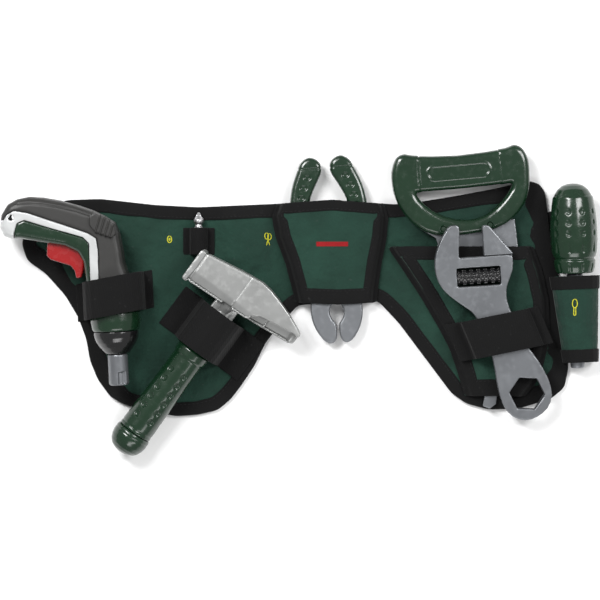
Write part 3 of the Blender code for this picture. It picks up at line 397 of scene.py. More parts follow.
def lathe(tool, profile, centre=(0.0, 0.0), around=112, step=0.7, rounds=3, relief=None, ring=False,
          at=None):
    """A bmesh turned about a line along the tool's Y through centre (x, z), from (radius, y) pairs.
    relief(angle, y) is added to the radius; angle is in degrees from the side away from the belt.
    ring=True closes the profile on itself, and at takes the place of the tool's own matrix."""
    line = softened(resampled(profile, step), rounds)
    matrix = at or placed(tool)
    bm = bmesh.new()
    rings = []
    for radius, y in line:
        circle = []
        for k in range(around):
            angle = 2 * math.pi * k / around
            wide = radius + (relief(math.degrees(angle), y) if relief and radius > 2 else 0.0)
            wide = max(wide, 0.001)
            point = Vector((centre[0] + wide * math.sin(angle), y, centre[1] + wide * math.cos(angle)))
            circle.append(bm.verts.new(matrix @ point))
        rings.append(circle)
    bridge(bm, rings)
    if not ring:
        bm.faces.new(rings[0][::-1])
        bm.faces.new(rings[-1])
    bmesh.ops.remove_doubles(bm, verts=bm.verts, dist=2e-6)
    bmesh.ops.recalc_face_normals(bm, faces=bm.faces)
    return bm


def tube(bm, points, radius, sides=6, flat=1.0):
    """Adds a closed tube along points, in metres, with a rounded tip at each end."""
    ends = [(0, 0.35), (1, 0.8)]
    rings = []
    count = len(points)
    for k, point in enumerate(points):
        ahead = points[min(k + 1, count - 1)] - points[max(k - 1, 0)]
        side = ahead.cross(UP)
        side = side.normalized() if side.length > 1e-9 else Vector((1, 0, 0))
        up = side.cross(ahead).normalized()
        from_end = min(k, count - 1 - k)
        size = radius * dict(ends).get(from_end, 1.0)
        rings.append([bm.verts.new(point + side * (size * math.cos(a)) + up * (size * flat * math.sin(a)))
                      for a in (2 * math.pi * i / sides for i in range(sides))])
    bridge(bm, rings)
    bm.faces.new(rings[0][::-1])
    bm.faces.new(rings[-1])


def rim_of(node, up=0.6):
    """The line round the top face of a CAD node, in metres, walked once round from its leftmost point."""
    bm = joined(node)
    bm.normal_update()
    after = {}
    for edge in bm.edges:
        if len(edge.link_faces) == 2:
            flags = [face.normal.z > up for face in edge.link_faces]
            if flags[0] != flags[1]:
                for vert in edge.verts:
                    after.setdefault(vert.index, []).append(edge.other_vert(vert).index)
    bm.verts.ensure_lookup_table()
    start = min(after, key=lambda i: bm.verts[i].co.x)
    loop, last = [start], None
    while True:
        options = [i for i in after[loop[-1]] if i != last]
        last = loop[-1]
        if not options or options[0] == start:
            break
        loop.append(options[0])
    points = [bm.verts[i].co.copy() for i in loop]
    bm.free()
    return points


def outline_of(node, rays=400, stride=0.6):
    """The outline of a CAD node seen from above, at its top's height, found outwards from its middle."""
    tree = tree_of(node)
    corners = [vert.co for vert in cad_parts[node].data.vertices]
    middle = sum(corners, Vector()) / len(corners)
    outline = []
    for k in range(rays):
        angle = math.tau * k / rays
        out = Vector((math.cos(angle), math.sin(angle), 0.0)) * (stride * MM)
        place = Vector((middle.x, middle.y, SKY))
        last = place
        for _ in range(250):
            hit = tree.ray_cast(place, DOWN)[0]
            if hit is None:
                break
            last = hit
            place = place + out
        outline.append(last.copy())
    return outline


def evenly(points, step, rounds=6):
    """The closed line with its points step mm apart and its corners rounded."""
    line = resampled([tuple(p) for p in points] + [tuple(points[0])], step * MM)[:-1]
    return softened(line, rounds, closed=True)


def inward(line):
    """The unit direction in the floor's plane from each point of a closed line towards its inside."""
    area = sum(a.x * b.y - b.x * a.y for a, b in zip(line, line[1:] + line[:1]))
    turn = 1.0 if area > 0 else -1.0
    out = []
    for before, after in zip(line[-1:] + line[:-1], line[1:] + line[:1]):
        ahead = after - before
        out.append((Vector((-ahead.y, ahead.x, 0.0)) * turn).normalized())
    return out


# ---- belt panel: padded cloth by simulation --------------------

CLOTH_CELL = 3.0
TAPE_W = 11.0          # how far the panel's ribbon reaches in from the edge
PUFF = 2.6             # the padding may rise this far
FOLD = 1.5             # height of the soft folds between what is sewn on
PLIERS_X = (-26.0, 86.0)   # under the pliers' grips the padding is nearly flat
PLIERS_PUFF = 0.15
SIDEWAYS = 1.2         # the cloth may drift this far in the floor's plane
CLOTH_FRAMES = 18
AIR = 2.2              # pressure that blows the padding up
GROWTH = 0.035         # share by which the cloth is longer than what it is sewn to


def simulated(bm, pinned, frames, pressure, growth):
    """The bmesh after a cloth simulation without gravity; pinned vertices stay."""
    work = new_object("cloth", bm)
    group = work.vertex_groups.new(name="pinned")
    group.add(pinned, 1.0, "REPLACE")
    mod = work.modifiers.new("cloth", "CLOTH")
    settings = mod.settings
    settings.vertex_group_mass = "pinned"
    settings.quality = 5
    settings.mass = 0.2
    settings.tension_stiffness = 15.0
    settings.compression_stiffness = 15.0
    settings.shear_stiffness = 5.0
    settings.bending_stiffness = 0.4
    settings.shrink_min = -growth
    settings.use_pressure = True
    settings.uniform_pressure_force = pressure
    settings.effector_weights.gravity = 0.0
    mod.point_cache.frame_start = 1
    mod.point_cache.frame_end = frames
    scene = bpy.context.scene
    for number in range(1, frames + 1):
        scene.frame_set(number)
    out = baked(work)
    scene.frame_set(1)
    return out


def corners_of(square):
    """The four corners of a square of the grid, in order round it."""
    i, j = square
    return (i, j), (i + 1, j), (i + 1, j + 1), (i, j + 1)


def squares_over(node, cell):
    """Even squares on the top and underside of a flat CAD node, joined at the rim.
    Returns the bmesh and each vertex's number of squares from the rim."""
    tree = tree_of(node)
    low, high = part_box(node)
    size = cell * MM
    counts = [int((high[k] - low[k]) / size) + 1 for k in (0, 1)]
    hits = {}
    for i in range(counts[0] + 1):
        for j in range(counts[1] + 1):
            x, y = low.x + i * size, low.y + j * size
            top = tree.ray_cast(Vector((x, y, high.z + 0.1)), DOWN)[0]
            under = tree.ray_cast(Vector((x, y, low.z - 0.1)), UP)[0]
            if top and under:
                hits[i, j] = (top, under)
    squares = [n for n in hits if all(corner in hits for corner in corners_of(n))]
    corners = sorted({corner for n in squares for corner in corners_of(n)})
    bm = bmesh.new()
    top = {n: bm.verts.new(hits[n][0]) for n in corners}
    under = {n: bm.verts.new(hits[n][1]) for n in corners}
    for square in sorted(squares):
        bm.faces.new([top[n] for n in corners_of(square)])
        bm.faces.new([under[n] for n in reversed(corners_of(square))])
    uses = set()
    for square in squares:
        ring = corners_of(square)
        uses.update(zip(ring, ring[1:] + ring[:1]))
    rim = [pair for pair in sorted(uses) if (pair[1], pair[0]) not in uses]
    for a, b in rim:
        bm.faces.new((top[b], top[a], under[a], under[b]))
    # the rim's steps are pulled into a smooth line
    near = {}
    for a, b in rim:
        near.setdefault(a, []).append(b)
        near.setdefault(b, []).append(a)
    for _ in range(4):
        moved = {}
        for n, others in near.items():
            moved[n] = sum(((top[o].co + top[n].co) / 2 for o in others), Vector()) / len(others)
        for n, place in moved.items():
            under[n].co.xy = place.xy
            top[n].co.xy = place.xy
    depth = {n: 0 for n in near}
    edge = list(near)
    while edge:
        following = []
        for i, j in edge:
            for n in ((i + 1, j), (i - 1, j), (i, j + 1), (i, j - 1)):
                if n in top and n not in depth:
                    depth[n] = depth[i, j] + 1
                    following.append(n)
        edge = following
    bm.verts.index_update()
    level = {}
    for n in corners:
        level[top[n].index] = (depth.get(n, 99), True)
        level[under[n].index] = (depth.get(n, 99), False)
    return bm, level


def make_panel():
    """The padded panel, blown up a little between its edges and kept under what lies on it."""
    bm, level = squares_over("belt_panel", CLOTH_CELL)
    rest = [vert.co.copy() for vert in bm.verts]
    held = int((TAPE_W - 1.5) / CLOTH_CELL)
    pinned = [k for k, (depth, _) in level.items() if depth <= held]
    bm = simulated(bm, pinned, CLOTH_FRAMES, AIR, GROWTH)
    others = [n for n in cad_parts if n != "belt_panel"]
    above = tree_of(*others)
    for vert, start in zip(bm.verts, rest):
        depth, is_top = level[vert.index]
        move = vert.co - start
        fold = noise.noise(start * 33.0) + 0.5 * noise.noise(start * 85.0)
        move.z += FOLD * fold * MM * ease((depth - held) / 4.0)
        move.x = min(max(move.x, -SIDEWAYS * MM), SIDEWAYS * MM)
        move.y = min(max(move.y, -SIDEWAYS * MM), SIDEWAYS * MM)
        if is_top:
            room = above.ray_cast(start, UP)[3] or 1.0
            under_pliers = band(start.x / MM, *PLIERS_X, 10.0)
            limit = PUFF * (1.0 - under_pliers) + PLIERS_PUFF * under_pliers
            highest = min(limit * MM, max(room - 0.25 * MM, 0.0))
            move.z = min(max(move.z, -0.5 * MM), highest)
        else:
            move.z = min(max(move.z, -0.15 * MM), 0.4 * MM)
        vert.co = start + move
    bm = evaluated(bm, ("SMOOTH", {"factor": 0.4, "iterations": 2}), ("SUBSURF", {"levels": 1}))
    return make("panel_cloth", bm, "green_fabric", "belt", ["belt_panel"])


# ---- ribbons and stitching --------------------

RIBBON_HALF = 2.4      # half the height of the ribbon folded round the panel's edge
RIBBON_T = 0.7
SEWN_RISE = 0.72       # how far a ribbon sewn flat rises above its cloth
SEWN_DROP = 1.3        # how far its outer edge hangs down over the cloth's side
SEWN_COLUMNS = 14      # points across it
STITCH = 2.5           # length of a stitch
STITCH_GAP = 1.3
THREAD_R = 0.27
INNER_PASSES = 400     # most rounds of pulling together what runs back on an inner edge
STITCH_SEARCH = 0.012  # how far above its line a stitch looks for the cloth, in metres


def ribbon_reach(point):
    """How far the panel's ribbon reaches in at a point of the rim, in mm; wider at the right end,
    its upper corner and the left wing."""
    x, y = point.x / MM, point.y / MM
    reach = TAPE_W
    reach += 5.0 * band(x, -250.0, -172.0, 12.0) * ease((50.0 - y) / 15.0)
    reach += 7.0 * ease(1.0 - math.hypot(x + 228.0, y - 22.0) / 30.0)
    reach += 6.0 * ease(1.0 - math.hypot(x - 215.0, y - 96.0) / 60.0)
    reach += 8.0 * ease((x - 198.0) / 24.0) * band(y, -84.0, 96.0, 24.0)
    return reach


def flap_reach(point):
    """The flap's ribbon is narrower along its upper edge."""
    return 13.5 - 4.0 * ease((point.y / MM - 72.0) / 8.0)


def pocket_reach(point):
    """The pocket's ribbon is narrower across its mouth."""
    return 15.0 - 3.0 * ease((point.y / MM - 38.0) / 8.0)


def runs_back(start, end, inner_start, inner_end):
    """Whether a strip between two lines would fold over itself on this step."""
    across = (inner_start + inner_end - start - end) / 2
    ahead = Vector((-across.y, across.x, 0.0))
    if ahead.dot(end - start) < 0.0:
        ahead = -ahead
    return ahead.dot(inner_end - inner_start) < -1e-10


def inner_line(line, reach, rounds):
    """The ribbon's inner edge, reach mm in from the line; its direction turns slowly at corners."""
    ways = softened(inward(line), rounds, closed=True)
    moved = [p + way.normalized() * (reach(p) * MM) for p, way in zip(line, ways)]
    moved = softened(moved, 8, closed=True)
    count = len(line)
    for _ in range(INNER_PASSES):
        turned_back = False
        for k in range(count):
            j = (k + 1) % count
            if runs_back(line[k], line[j], moved[k], moved[j]):
                moved[k] = moved[j] = (moved[k] + moved[j]) / 2
                turned_back = True
        if not turned_back:
            break
    return moved


def make_panel_ribbon():
    """The ribbon folded round the panel's edge, with a slightly wavy inner edge."""
    line = evenly(rim_of("belt_panel"), 1.5, 8)
    inner = inner_line(line, ribbon_reach, rounds=160)
    panel = tree_of("belt_panel")
    half, thick = RIBBON_HALF, RIBBON_T
    # (share of the way in, or mm out where it is negative; height from the panel's middle)
    outer = [(1.0, half - 0.2), (0.96, half), (0.7, half + 0.05), (0.35, half), (0.12, half - 0.1),
             (0.0, half - 0.45), (-0.9, 1.2), (-1.2, 0.0)]
    under = [(-1.2 + thick, 0.0), (-0.2, 0.9), (0.08, 1.5), (0.35, 1.7), (0.7, 1.75), (0.97, 1.7)]
    section = outer + [(d, -h) for d, h in reversed(outer[:-1])]
    section += [(d, -h) for d, h in reversed(under)] + [(d, h) for d, h in under[1:]]
    bm = bmesh.new()
    rings = []
    for point, side, inside in zip(line, inward(line), inner):
        pull = noise.noise(point * 60.0)
        ring = []
        for d, h in section:
            share = max(d, 0.0)
            place = point.lerp(inside, share) + side * ((min(d, 0.0) + pull * 0.7 * share) * MM)
            hit = dropped(panel, place)
            top = hit.z if hit else point.z
            swell = 1.0 + 0.1 * share * noise.noise(point * 150.0 + Vector((7, 0, 0)))
            ring.append(bm.verts.new((place.x, place.y, top + (h * swell - 1.2) * MM)))
        rings.append(ring)
    bridge_round(bm, rings)
    ribbon = make("panel_ribbon", bm, "black_tape", "belt", ["panel_binding"])
    return ribbon, inner


def ribbon_on(name, node, reach, cloth, binding):
    """A ribbon sewn flat along the rim of a cloth piece; returns it and its inner edge."""
    line = evenly(outline_of(node), 1.0, 8)
    inner = inner_line(line, reach, rounds=260)
    tree = tree_over([cloth])
    bm = bmesh.new()
    rings = []
    for point, side, inside in zip(line, inward(line), inner):
        top, under = [], []
        height = point.z
        for k in range(SEWN_COLUMNS):
            share = k / (SEWN_COLUMNS - 1)
            place = (point - side * (0.35 * MM)).lerp(inside, share)
            hit = dropped(tree, place)
            height = hit.z if hit else height
            pucker = 0.22 * share * noise.noise(place * 170.0)
            thin = 0.35 if k in (0, SEWN_COLUMNS - 1) else 0.0
            top.append(bm.verts.new((place.x, place.y, height + (SEWN_RISE + pucker - thin) * MM)))
            drop = SEWN_DROP if k == 0 else -0.06
            under.append(bm.verts.new((place.x, place.y, height - drop * MM)))
        rings.append(top + under[::-1])
    bridge_round(bm, rings)
    bm = evaluated(bm, ("SMOOTH", {"factor": 0.5, "iterations": 2}))
    return make(name, bm, "black_tape", "belt", [binding]), inner


def stitches(name, lines, body, on, look="thread", lift=0.12):
    """Rows of stitches along lines in metres, each laid on the pieces in on."""
    tree = tree_over(on)
    bm = bmesh.new()
    for line in lines:
        travelled, wanted = 0.0, STITCH_GAP
        for a, b in zip(line, line[1:]):
            length = (b - a).length / MM
            while wanted <= travelled + length:
                spot = a.lerp(b, (wanted - travelled) / length)
                ahead = (b - a).normalized() * (STITCH * MM / 2)
                points = []
                for t in (-1.0, -0.75, -0.3, 0.3, 0.75, 1.0):
                    place = spot + ahead * t
                    start = place + Vector((0, 0, STITCH_SEARCH))
                    hit = tree.ray_cast(start, DOWN)[0]
                    if hit is None:
                        points = []
                        break
                    sink = 0.32 * ease((abs(t) - 0.5) * 2)
                    points.append(Vector((place.x, place.y, hit.z + (lift - sink) * MM)))
                if points:
                    tube(bm, points, THREAD_R * MM)
                wanted += STITCH + STITCH_GAP
            travelled += length
    return make(name, bm, look, body)


def offset_line(line, distance):
    """The closed line moved in by distance mm, ending where it starts."""
    moved = [p + s * (distance * MM) for p, s in zip(line, inward(line))]
    return moved + moved[:1]


def declare_sheet(obj):
    """Returns the piece of cloth unchanged; nothing is declared."""
    return obj


def cloth_from(name, node, look, square, rounds, waves=0.0, wavelength=20.0, fine=0.0):
    """Cloth made from a CAD node's solid: rounded, with soft waves and finer creases in mm."""
    bm = even(node, square, rounds)
    seed = Vector((3.0, 5.0, 0.0)) * len(name)
    for vert in bm.verts:
        flat = Vector((vert.co.x, vert.co.y, 0.0)) / MM
        rise = waves * noise.noise(flat / wavelength + seed)
        rise += fine * noise.noise(flat / (wavelength * 0.3) + seed)
        vert.co.z += rise * MM
    return make(name, bm, look, "belt", [node])


def make_flap_and_pocket():
    """The flap and the pocket with their ribbons and stitching; returns the flap."""
    flap = cloth_from("flap_cloth", "centre_flap", "green_fabric", 0.65, 8, 0.25, 22.0, 0.12)
    flap_ribbon, flap_inner = ribbon_on("flap_ribbon", "centre_flap", flap_reach, flap,
                                        "centre_flap_binding")
    pocket = cloth_from("pocket_cloth", "saw_pocket", "green_fabric", 0.65, 8, 0.25, 30.0, 0.12)
    pocket_ribbon, pocket_inner = ribbon_on("pocket_ribbon", "saw_pocket", pocket_reach, pocket,
                                            "saw_pocket_binding")
    lines = [offset_line(line, -1.8) for line in (flap_inner, pocket_inner)]
    threads = stitches("flap_and_pocket_stitching", lines, "belt", [flap_ribbon, pocket_ribbon])
    declare_sheet(flap)
    declare_sheet(flap_ribbon)
    declare_sheet(pocket)
    declare_sheet(pocket_ribbon)
    return flap


def make_loops():
    """The elastic loops, the waist strap and its two patches."""
    for node in ("drill_loop", "hammer_loop", "bit_loop", "wrench_loop"):
        square = 0.45 if node == "bit_loop" else 0.6
        loop = cloth_from(node + "_elastic", node, "elastic", square, 6, 0.2, 16.0, 0.1)
        declare_sheet(loop)
    for node in ("waist_strap_left", "waist_strap_right"):
        bm = joined(node)
        bmesh.ops.join_triangles(bm, faces=bm.faces, angle_face_threshold=0.1, angle_shape_threshold=3.0)
        for _ in range(6):
            long_edges = [e for e in bm.edges if e.calc_length() > 6.0 * MM]
            bmesh.ops.subdivide_edges(bm, edges=long_edges, cuts=1, use_grid_fill=True)
        strap = make(node + "_webbing", bm, "webbing", "belt", [node], flat_angle=40)
        declare_sheet(strap)
    for node in ("hook_patch", "loop_patch"):
        patch = cloth_from(node + "_pile", node, "hook_loop", 0.35, 2, 0.0, 10.0, 0.05)
        declare_sheet(patch)


def make_sheath():
    """The screwdriver's sheath and its two ribbons; returns the sheath."""
    body = cloth_from("sheath_cloth", "screwdriver_sheath", "green_fabric", 0.6, 8, 0.2, 18.0, 0.1)
    declare_sheet(body)
    for node in ("sheath_bottom_binding", "sheath_top_binding"):
        ribbon = cloth_from(node.replace("binding", "ribbon"), node, "black_tape", 0.36, 4, 0.2, 18.0, 0.1)
        declare_sheet(ribbon)
    return body


# ---- tools --------------------

def dimple(angle, y, rows, first, last, gap, half_angle, half_y):
    """1 at the middle of a dimple, 0 outside; dimples repeat along y in rows at given angles."""
    if not first - half_y <= y <= last + half_y:
        return 0.0
    steps = round((min(max(y, first), last) - first) / gap)
    away_y = (y - first - steps * gap) / half_y
    found = 0.0
    for row in rows:
        away = ((angle - row + 180.0) % 360.0 - 180.0) / half_angle
        spread = away * away + away_y * away_y
        if spread < 1.0:
            found = max(found, ease((1.0 - spread) * 1.6))
    return found


def make_hammer():
    """The hammer's dimpled grip, its end cap and its head."""
    rows = [29.0 + 60.4 * k for k in range(6)]

    def grip_relief(angle, y):
        return -1.35 * dimple(angle, y, rows, first=21.0, last=71.0, gap=10.0, half_angle=11.5, half_y=3.3)

    profile = [(5.4, 125), (15.2, 125), (15.2, 98), (14.4, 96.4), (15.8, 94.6), (15.8, 88),
               (14.5, 86.2), (14.6, 70), (15.0, 40), (15.5, 14), (15.5, 9), (14.9, 8), (15.7, 7.0),
               (15.7, 4.7), (5.4, 4.7)]
    grip = lathe("hammer", profile, around=150, step=0.55, rounds=3, relief=grip_relief)
    make("hammer_grip_moulded", grip, "green_plastic", "hammer", ["hammer_grip"])
    cap = [(0, -18.2), (4, -17.8), (8, -16.7), (11.5, -14.7), (14.2, -11.6), (16.0, -7.5),
           (16.8, -3), (16.8, -0.6), (16.2, -0.1), (16.8, 0.6), (16.7, 2), (15.8, 4.2), (5.4, 4.2),
           (5.4, -8), (0, -8)]
    cap = lathe("hammer", cap, around=120, step=0.5, rounds=3)
    make("hammer_cap_moulded", cap, "green_plastic", "hammer", ["hammer_end_cap"])

    def head_relief(x, y, z, normal):
        up = ease((normal.z - 0.3) / 0.3)
        seam = -0.35 * band(x, 3.3, 3.7, 0.5) * (1.0 if normal.z > 0.3 else 0.4)
        seam -= 0.7 * band(x, -41.6, -40.6, 0.7) * (1.0 if x > -42.4 else 0.0)
        below = 154.0 + max(x - 22.0, 0.0) * 0.16
        slope = -0.42 * max(below - y, 0.0) * up * band(x, -40.0, 60.0, 4.0)
        return seam + slope

    formed("hammer_head_cast", "hammer_head", 0.75, 7, "silver_paint", "hammer", head_relief)


def make_pliers():
    """The pliers' grips, with a row of dimples each, and their toothed jaws."""
    for side, flip in (("left", 1), ("right", -1)):
        def grip_relief(x, y, z, normal, flip=flip):
            across = flip * x
            pressed = 0.0
            for k in range(6):
                spot = 44.0 + 9.0 * k
                centre = 25.5 - 0.0076 * max(spot - 56.0, 0.0) ** 2
                spread = ((across - centre) / 3.6) ** 2 + ((y - spot) / 2.8) ** 2
                if spread < 1.0 and abs(normal.z) > 0.4:
                    pressed = max(pressed, ease(1.4 * (1.0 - spread)))
            line = band(y, 37.2, 38.0, 0.8) + band(y, 96.6, 97.4, 0.8)
            return -1.1 * pressed - 0.5 * min(line, 1.0)

        node = "plier_grip_" + side
        body = "plier_" + side
        formed(node + "_moulded", node, 0.6, 10, "green_plastic", body, grip_relief, "pliers")

        def jaw_relief(x, y, z, normal):
            if -24.0 < y < -14.5 or -56.0 < y < -45.0:
                return -0.4 * (0.5 + 0.5 * math.cos(2 * math.pi * y / 2.2)) * ease((2.2 - abs(x)) / 1.0)
            ring = math.hypot(x, y)
            return -0.35 * band(ring, 9.6, 10.0, 0.6) * (1.0 if abs(normal.z) > 0.8 else 0.0)

        name = "plier_jaw_" + side + "_cast"
        formed(name, "jaw_half_" + side, 0.5, 5, "silver_plastic", body, jaw_relief, "pliers")


# The raised outline on the saw's grip: its ends in x, its y and its radius
PILL = ((-24.0, 20.0), 55.0, 6.2)


def make_saw():
    """The saw's two handle halves and its blade."""
    def handle_relief(x, y, z, normal):
        (left, right), middle, radius = PILL
        away = math.hypot(x - min(max(x, left), right), y - middle)
        outline = 0.55 * band(away, radius - 0.5, radius + 0.5, 0.8) - 0.25 * ease((radius - away) / 1.0)
        seams = 0.0
        for end in (-38.5, 36.5):
            bow = end + (y - 55) * (y - 55) * 0.006 * (1 if end < 0 else -1)
            seams += band(x, bow - 0.2, bow + 0.2, 0.7) * (1.0 if 40 < y < 73 else 0.0)
        slim = -0.5 * band(x, -36.0, 34.0, 2.0) * (1.0 if y > 37 else 0.0)
        facing = ease((abs(normal.z) - 0.3) / 0.3)
        return outline * facing - 0.55 * min(seams, 1.0) + slim

    for side in ("front", "back"):
        node = "saw_handle_" + side
        formed(node + "_moulded", node, 0.7, 26, "green_plastic", "saw", handle_relief)
    formed("saw_blade_stamped", "saw_blade", 0.55, 3, "silver_plastic", "saw")


WORM_MIDDLE = (0.0, 114.0, 0.0)
WORM_TILT = -18.8


def make_wrench():
    """The wrench's body, its sliding jaw and the knurled worm."""
    def body_relief(x, y, z, normal):
        return -0.075 * (0.5 + 0.5 * noise.noise(Vector((x, y, z)) / 14.0))

    formed("wrench_body_cast", "wrench_body", 0.65, 5, "silver_plastic", "wrench", body_relief)
    formed("wrench_jaw_cast", "wrench_jaw", 0.5, 4, "silver_plastic", "wrench_jaw")

    rows = 12
    along = 6.4

    def knurl(angle, y):
        if abs(y) > 18.6:
            return 0.0
        around = abs(((angle * rows / 360.0) % 1.0) - 0.5) * 2
        turn = abs(((y / along + 0.5) % 1.0) - 0.5) * 2
        bump = ease((0.72 - around) * 5.0) * ease((0.62 - turn) * 5.0)
        return 1.15 * bump - 0.5

    at = placed("wrench") @ Matrix.Translation(WORM_MIDDLE)
    at = at @ Matrix.Rotation(math.radians(WORM_TILT - 90.0), 4, "Z")
    profile = [(2.3, 19.0), (6.5, 19.0), (6.5, -19.0), (2.3, -19.0), (2.3, 19.0)]
    worm = lathe(None, profile, around=144, step=0.4, rounds=1, relief=knurl, at=at, ring=True)
    make("wrench_worm_knurled", worm, "black_plastic", "wrench_worm", ["wrench_worm"])


def make_driver():
    """The screwdriver's dimpled handle and its shaft."""
    rows = [36.0 * k + 18.0 for k in range(10)]

    def relief(angle, y):
        pressed = -dimple(angle, y, rows, first=123.0, last=143.0, gap=9.6, half_angle=7.0, half_y=2.9)
        away = (angle % 36.0) - 18.0
        narrow = 5.5 * ease((119.0 - y) / 14.0)
        flute = -0.9 * ease((narrow - abs(away)) / 2.5) * band(y, 106.5, 117.0, 1.5)
        lower = -0.8 * ease((5.0 - abs(away)) / 3.0) * band(y, 89.5, 95.0, 1.5)
        return pressed + flute + lower

    profile = [(0, 167.5), (5, 166.9), (9.5, 165.3), (13.6, 162), (16.3, 157.6), (16.9, 156.2),
               (17.9, 155.2), (19.3, 147), (20.3, 138), (21.0, 129), (21.0, 116), (20.2, 106),
               (18.8, 101.4), (17.3, 99.8), (18.8, 98.2), (18.3, 93), (16.6, 87.2), (15.4, 86.8), (4.4, 86.8),
               (4.4, 140), (0, 140)]
    handle = lathe("driver", profile, around=180, step=0.6, rounds=3, relief=relief)
    make("driver_handle_moulded", handle, "green_plastic", "screwdriver", ["driver_handle"])
    shaft = [(0, 139.5), (4.0, 139.5), (4.0, 86.4), (7.0, 86.4), (7.0, 9), (6.6, 6.8), (6.0, 1), (0, 1)]
    shaft = lathe("driver", shaft, around=72, step=1.0, rounds=2)
    make("driver_shaft_cast", shaft, "silver_plastic", "screwdriver", ["driver_shaft"])


def make_bit():
    """The spare bit, with a cross tip and a hexagonal shank."""
    def cross(angle, y):
        depth = 0.42 * ease((y - 28.5) / 4.0)
        slot = ease(1.0 - abs((angle % 90.0) - 45.0) / 24.0)
        hexagon = 0.0
        if y < 21.5:
            flat = math.cos(math.radians(30.0)) / math.cos(math.radians((angle % 60.0) - 30.0))
            hexagon = 4.5 * (flat - 1.0) * 0.7
        return -depth * slot * 3.0 + hexagon

    bit = [(0, 34.7), (1.1, 34.4), (2.7, 31.0), (4.9, 28.2), (4.9, 26.2), (3.3, 23.6),
           (3.6, 22.4), (4.5, 20.5), (4.5, 2), (3.8, 1), (0, 1)]
    bit = lathe("bit", bit, around=96, step=0.3, rounds=2, relief=cross)
    make("spare_bit_ground", bit, "steel", "spare_bit", ["spare_bit"])


AXIS = (1.0, 0.0)      # the drill's axis: x and z in its own axes


def make_drill():
    """The cordless screwdriver's case, trim, grip, trigger, switch, nose and bit holder."""
    def case_relief(x, y, z, normal):
        if normal.z < 0.1 or z < 4.0:
            return 0.0
        spot = 167.5 - 0.0029 * (x + 84.0) ** 2
        line = band(y, spot - 0.3, spot + 0.3, 0.7) * (1.0 if -82.0 < x < -15.0 else 0.0)
        return -0.6 * line

    for side in ("front", "back"):
        case, trim, grip = ("drill_" + part + side for part in ("case_", "trim_", "grip_"))
        formed(case + "_moulded", case, 0.75, 9, "grey_rubber", "drill", case_relief)
        formed(trim + "_moulded", trim, 0.6, 9, "white_plastic", "drill")
        formed(grip + "_moulded", "drill_grip_panel_" + side, 0.6, 14, "green_plastic", "drill")
    formed("drill_trigger_moulded", "drill_trigger", 0.55, 8, "red_plastic", "trigger")

    def switch_relief(x, y, z, normal):
        along = x * 0.94 - (y - 145.0) * 0.34
        ridge = max(0.0, math.cos(2 * math.pi * along / 4.4))
        return 0.9 * ridge * ease((z - 19.0) / 0.6) * band(along, -9.0, 5.0, 1.0)

    node = "direction_switch"
    formed(node + "_moulded", node, 0.4, 5, "grey_rubber", node, switch_relief, "drill")

    ring = [(21.0, 67.0), (22.0, 65.2), (22.4, 58.0), (21.6, 51.6), (20.6, 49.2), (4.6, 49.0),
            (4.6, 67.0), (21.0, 67.0)]
    ring = lathe("drill", ring, AXIS, around=144, step=0.6, rounds=2, ring=True)
    make("nose_ring_moulded", ring, "green_plastic", "drill", ["nose_ring"])
    cone = [(20.0, 48.6), (20.2, 46.5), (19.7, 43.0), (18.2, 39.0), (15.6, 34.8), (12.6, 31.0),
            (10.6, 28.7), (4.6, 28.6), (4.6, 48.6), (20.0, 48.6)]
    cone = lathe("drill", cone, AXIS, around=128, step=0.6, rounds=2, ring=True)
    make("nose_cone_moulded", cone, "black_plastic", "drill", ["nose_cone"])

    def holder_relief(angle, y):
        if y > 15.5:
            return 0.0
        facet = ease((math.cos(math.radians((angle - 24.0) * 2)) - 0.6) * 4.0)
        return -2.2 * facet * band(y, 2.0, 11.5, 1.2)

    holder = [(0, 28.2), (8.4, 28.2), (9.0, 26.8), (9.0, 2.0), (7.8, 0.2), (4.4, 0.2), (4.2, 1.4),
              (4.2, 15), (0, 15)]
    holder = lathe("drill", holder, AXIS, around=96, step=0.5, rounds=1, relief=holder_relief)
    make("bit_holder_turned", holder, "silver_plastic", "bit_holder", ["bit_holder"])


# ---- sewn marks --------------------

def mark(name, at, lines, look, on, radius=0.42):
    """Thin embroidered lines, in mm about the point at (x, y), laid on pieces."""
    tree = tree_over(on)
    bm = bmesh.new()
    for line in lines:
        points = []
        for x, y in softened(resampled(line, 0.5), 2):
            place = (Vector((at[0] + x, at[1] + y, 0.0)) + ROOT_AT) * MM
            hit = dropped(tree, place)
            points.append(Vector((place.x, place.y, hit.z + 0.1 * MM)))
        tube(bm, points, radius * MM, sides=8, flat=0.5)
    return make(name, bm, look, "belt")


def oval(wide, high, middle=(0.0, 0.0), steps=16):
    """A closed oval of points, from its top."""
    turns = [2 * math.pi * k / steps for k in range(steps + 1)]
    return [(middle[0] + wide * math.sin(t), middle[1] + high * math.cos(t)) for t in turns]


def make_marks(panel, flap, sheath):
    """Plain pictures of what goes in each holder, and a red woven bar on the flap."""
    mark("bit_mark", (-118.0, 53.5), [oval(2.0, 3.0), oval(0.6, 1.0)], "yellow_thread", [panel])
    plier = [oval(1.7, 2.8, (-1.2, 3.0)), oval(1.7, 2.8, (1.4, 2.4)),
             [(-0.8, 0.2), (0.4, -2.0), (1.8, -5.5)], [(0.8, -0.4), (-0.6, -2.4), (-1.2, -5.5)]]
    mark("pliers_mark", (-29.0, 53.5), plier, "yellow_thread", [panel])
    driver = [oval(2.2, 4.0, (0, 4.0)), [(-0.9, 0.4), (-0.9, -6.5), (0.9, -6.5), (0.9, 0.4)]]
    mark("driver_mark", (246.2, -8.5), driver, "yellow_thread", [sheath])
    bars = [[(-14.5, y), (14.5, y)] for y in (-1.6, -0.8, 0.0, 0.8, 1.6)]
    return mark("red_woven_bar", (29.0, 49.0), bars, "red_thread", [flap], radius=0.55)


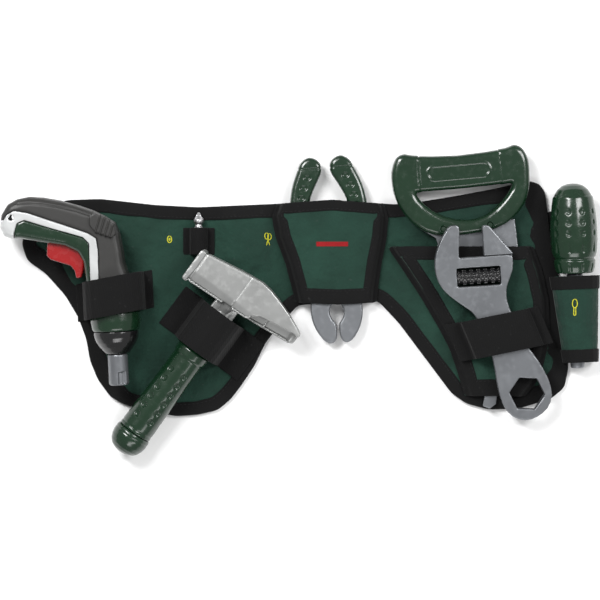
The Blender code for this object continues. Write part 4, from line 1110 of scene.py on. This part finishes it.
# ---- floor, light and camera --------------------

CAMERA_AT = Vector((-0.001, -0.00015, 2.6))
VIEW_WIDE = 0.54       # what the camera sees at the belt's height, in metres
VIEW_LEVEL = 0.02


def make_floor():
    """The pale floor."""
    bm = bmesh.new()
    bmesh.ops.create_grid(bm, x_segments=8, y_segments=8, size=4.0)
    floor = new_object("floor", bm)
    floor.location.z = -0.2 * MM
    paper, tree, shader, where = start_material("paper", 0.95)
    tone = add_mix(tree, add_noise(tree, where, 400.0), (0.88, 0.88, 0.88, 1.0), (0.92, 0.92, 0.92, 1.0))
    tree.links.new(tone, shader.inputs["Base Color"])
    floor.data.materials.append(paper)


def add_lamp(name, at, aim, size, power):
    """A rectangular lamp at a place, aimed at another."""
    lamp = bpy.data.lights.new(name, "AREA")
    lamp.shape = "RECTANGLE"
    lamp.size, lamp.size_y = size
    lamp.energy = power
    obj = bpy.data.objects.new(name, lamp)
    obj.location = at
    obj.rotation_euler = (Vector(aim) - Vector(at)).to_track_quat("-Z", "Y").to_euler()
    bpy.context.scene.collection.objects.link(obj)


def make_light():
    """Even light from all round and three soft lamps."""
    scene = bpy.context.scene
    scene.view_settings.view_transform = "Standard"
    world = bpy.data.worlds.new("studio")
    world.use_nodes = True
    world.node_tree.nodes["Background"].inputs["Color"].default_value = (1.0, 1.0, 1.0, 1.0)
    world.node_tree.nodes["Background"].inputs["Strength"].default_value = 0.42
    scene.world = world
    add_lamp("key", (-0.65, 0.75, 1.4), (0.0, 0.0, 0.0), (0.4, 0.8), 26.0)
    add_lamp("fill", (0.95, 0.5, 1.4), (0.0, 0.0, 0.0), (0.4, 0.8), 15.0)
    add_lamp("front", (0.1, -1.1, 1.2), (0.0, 0.0, 0.0), (1.2, 0.35), 7.0)


def make_camera():
    """The camera, straight above the belt."""
    data = bpy.data.cameras.new("camera")
    data.sensor_width = 36.0
    data.lens = data.sensor_width * (CAMERA_AT.z - VIEW_LEVEL) / VIEW_WIDE
    data.clip_end = 20.0
    camera = bpy.data.objects.new("camera", data)
    camera.location = CAMERA_AT
    bpy.context.scene.collection.objects.link(camera)
    bpy.context.scene.camera = camera


for node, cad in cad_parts.items():
    look = cad.data.materials[0].name.split(".")[0]
    if node.startswith("saw_rivet"):
        look = "green_plastic"
    cad.data.materials.clear()
    cad.data.materials.append(LOOKS.get(look, LOOKS["black_plastic"]))

panel = make_panel()
ribbon, inner = make_panel_ribbon()
threads = stitches("panel_stitching", [offset_line(inner, -2.0)], "belt", [ribbon])
declare_sheet(ribbon)
flap = make_flap_and_pocket()
make_loops()
sheath = make_sheath()
make_hammer()
make_pliers()
make_saw()
make_wrench()
make_driver()
make_bit()
make_drill()
make_marks(panel, flap, sheath)
make_floor()
make_light()
make_camera()
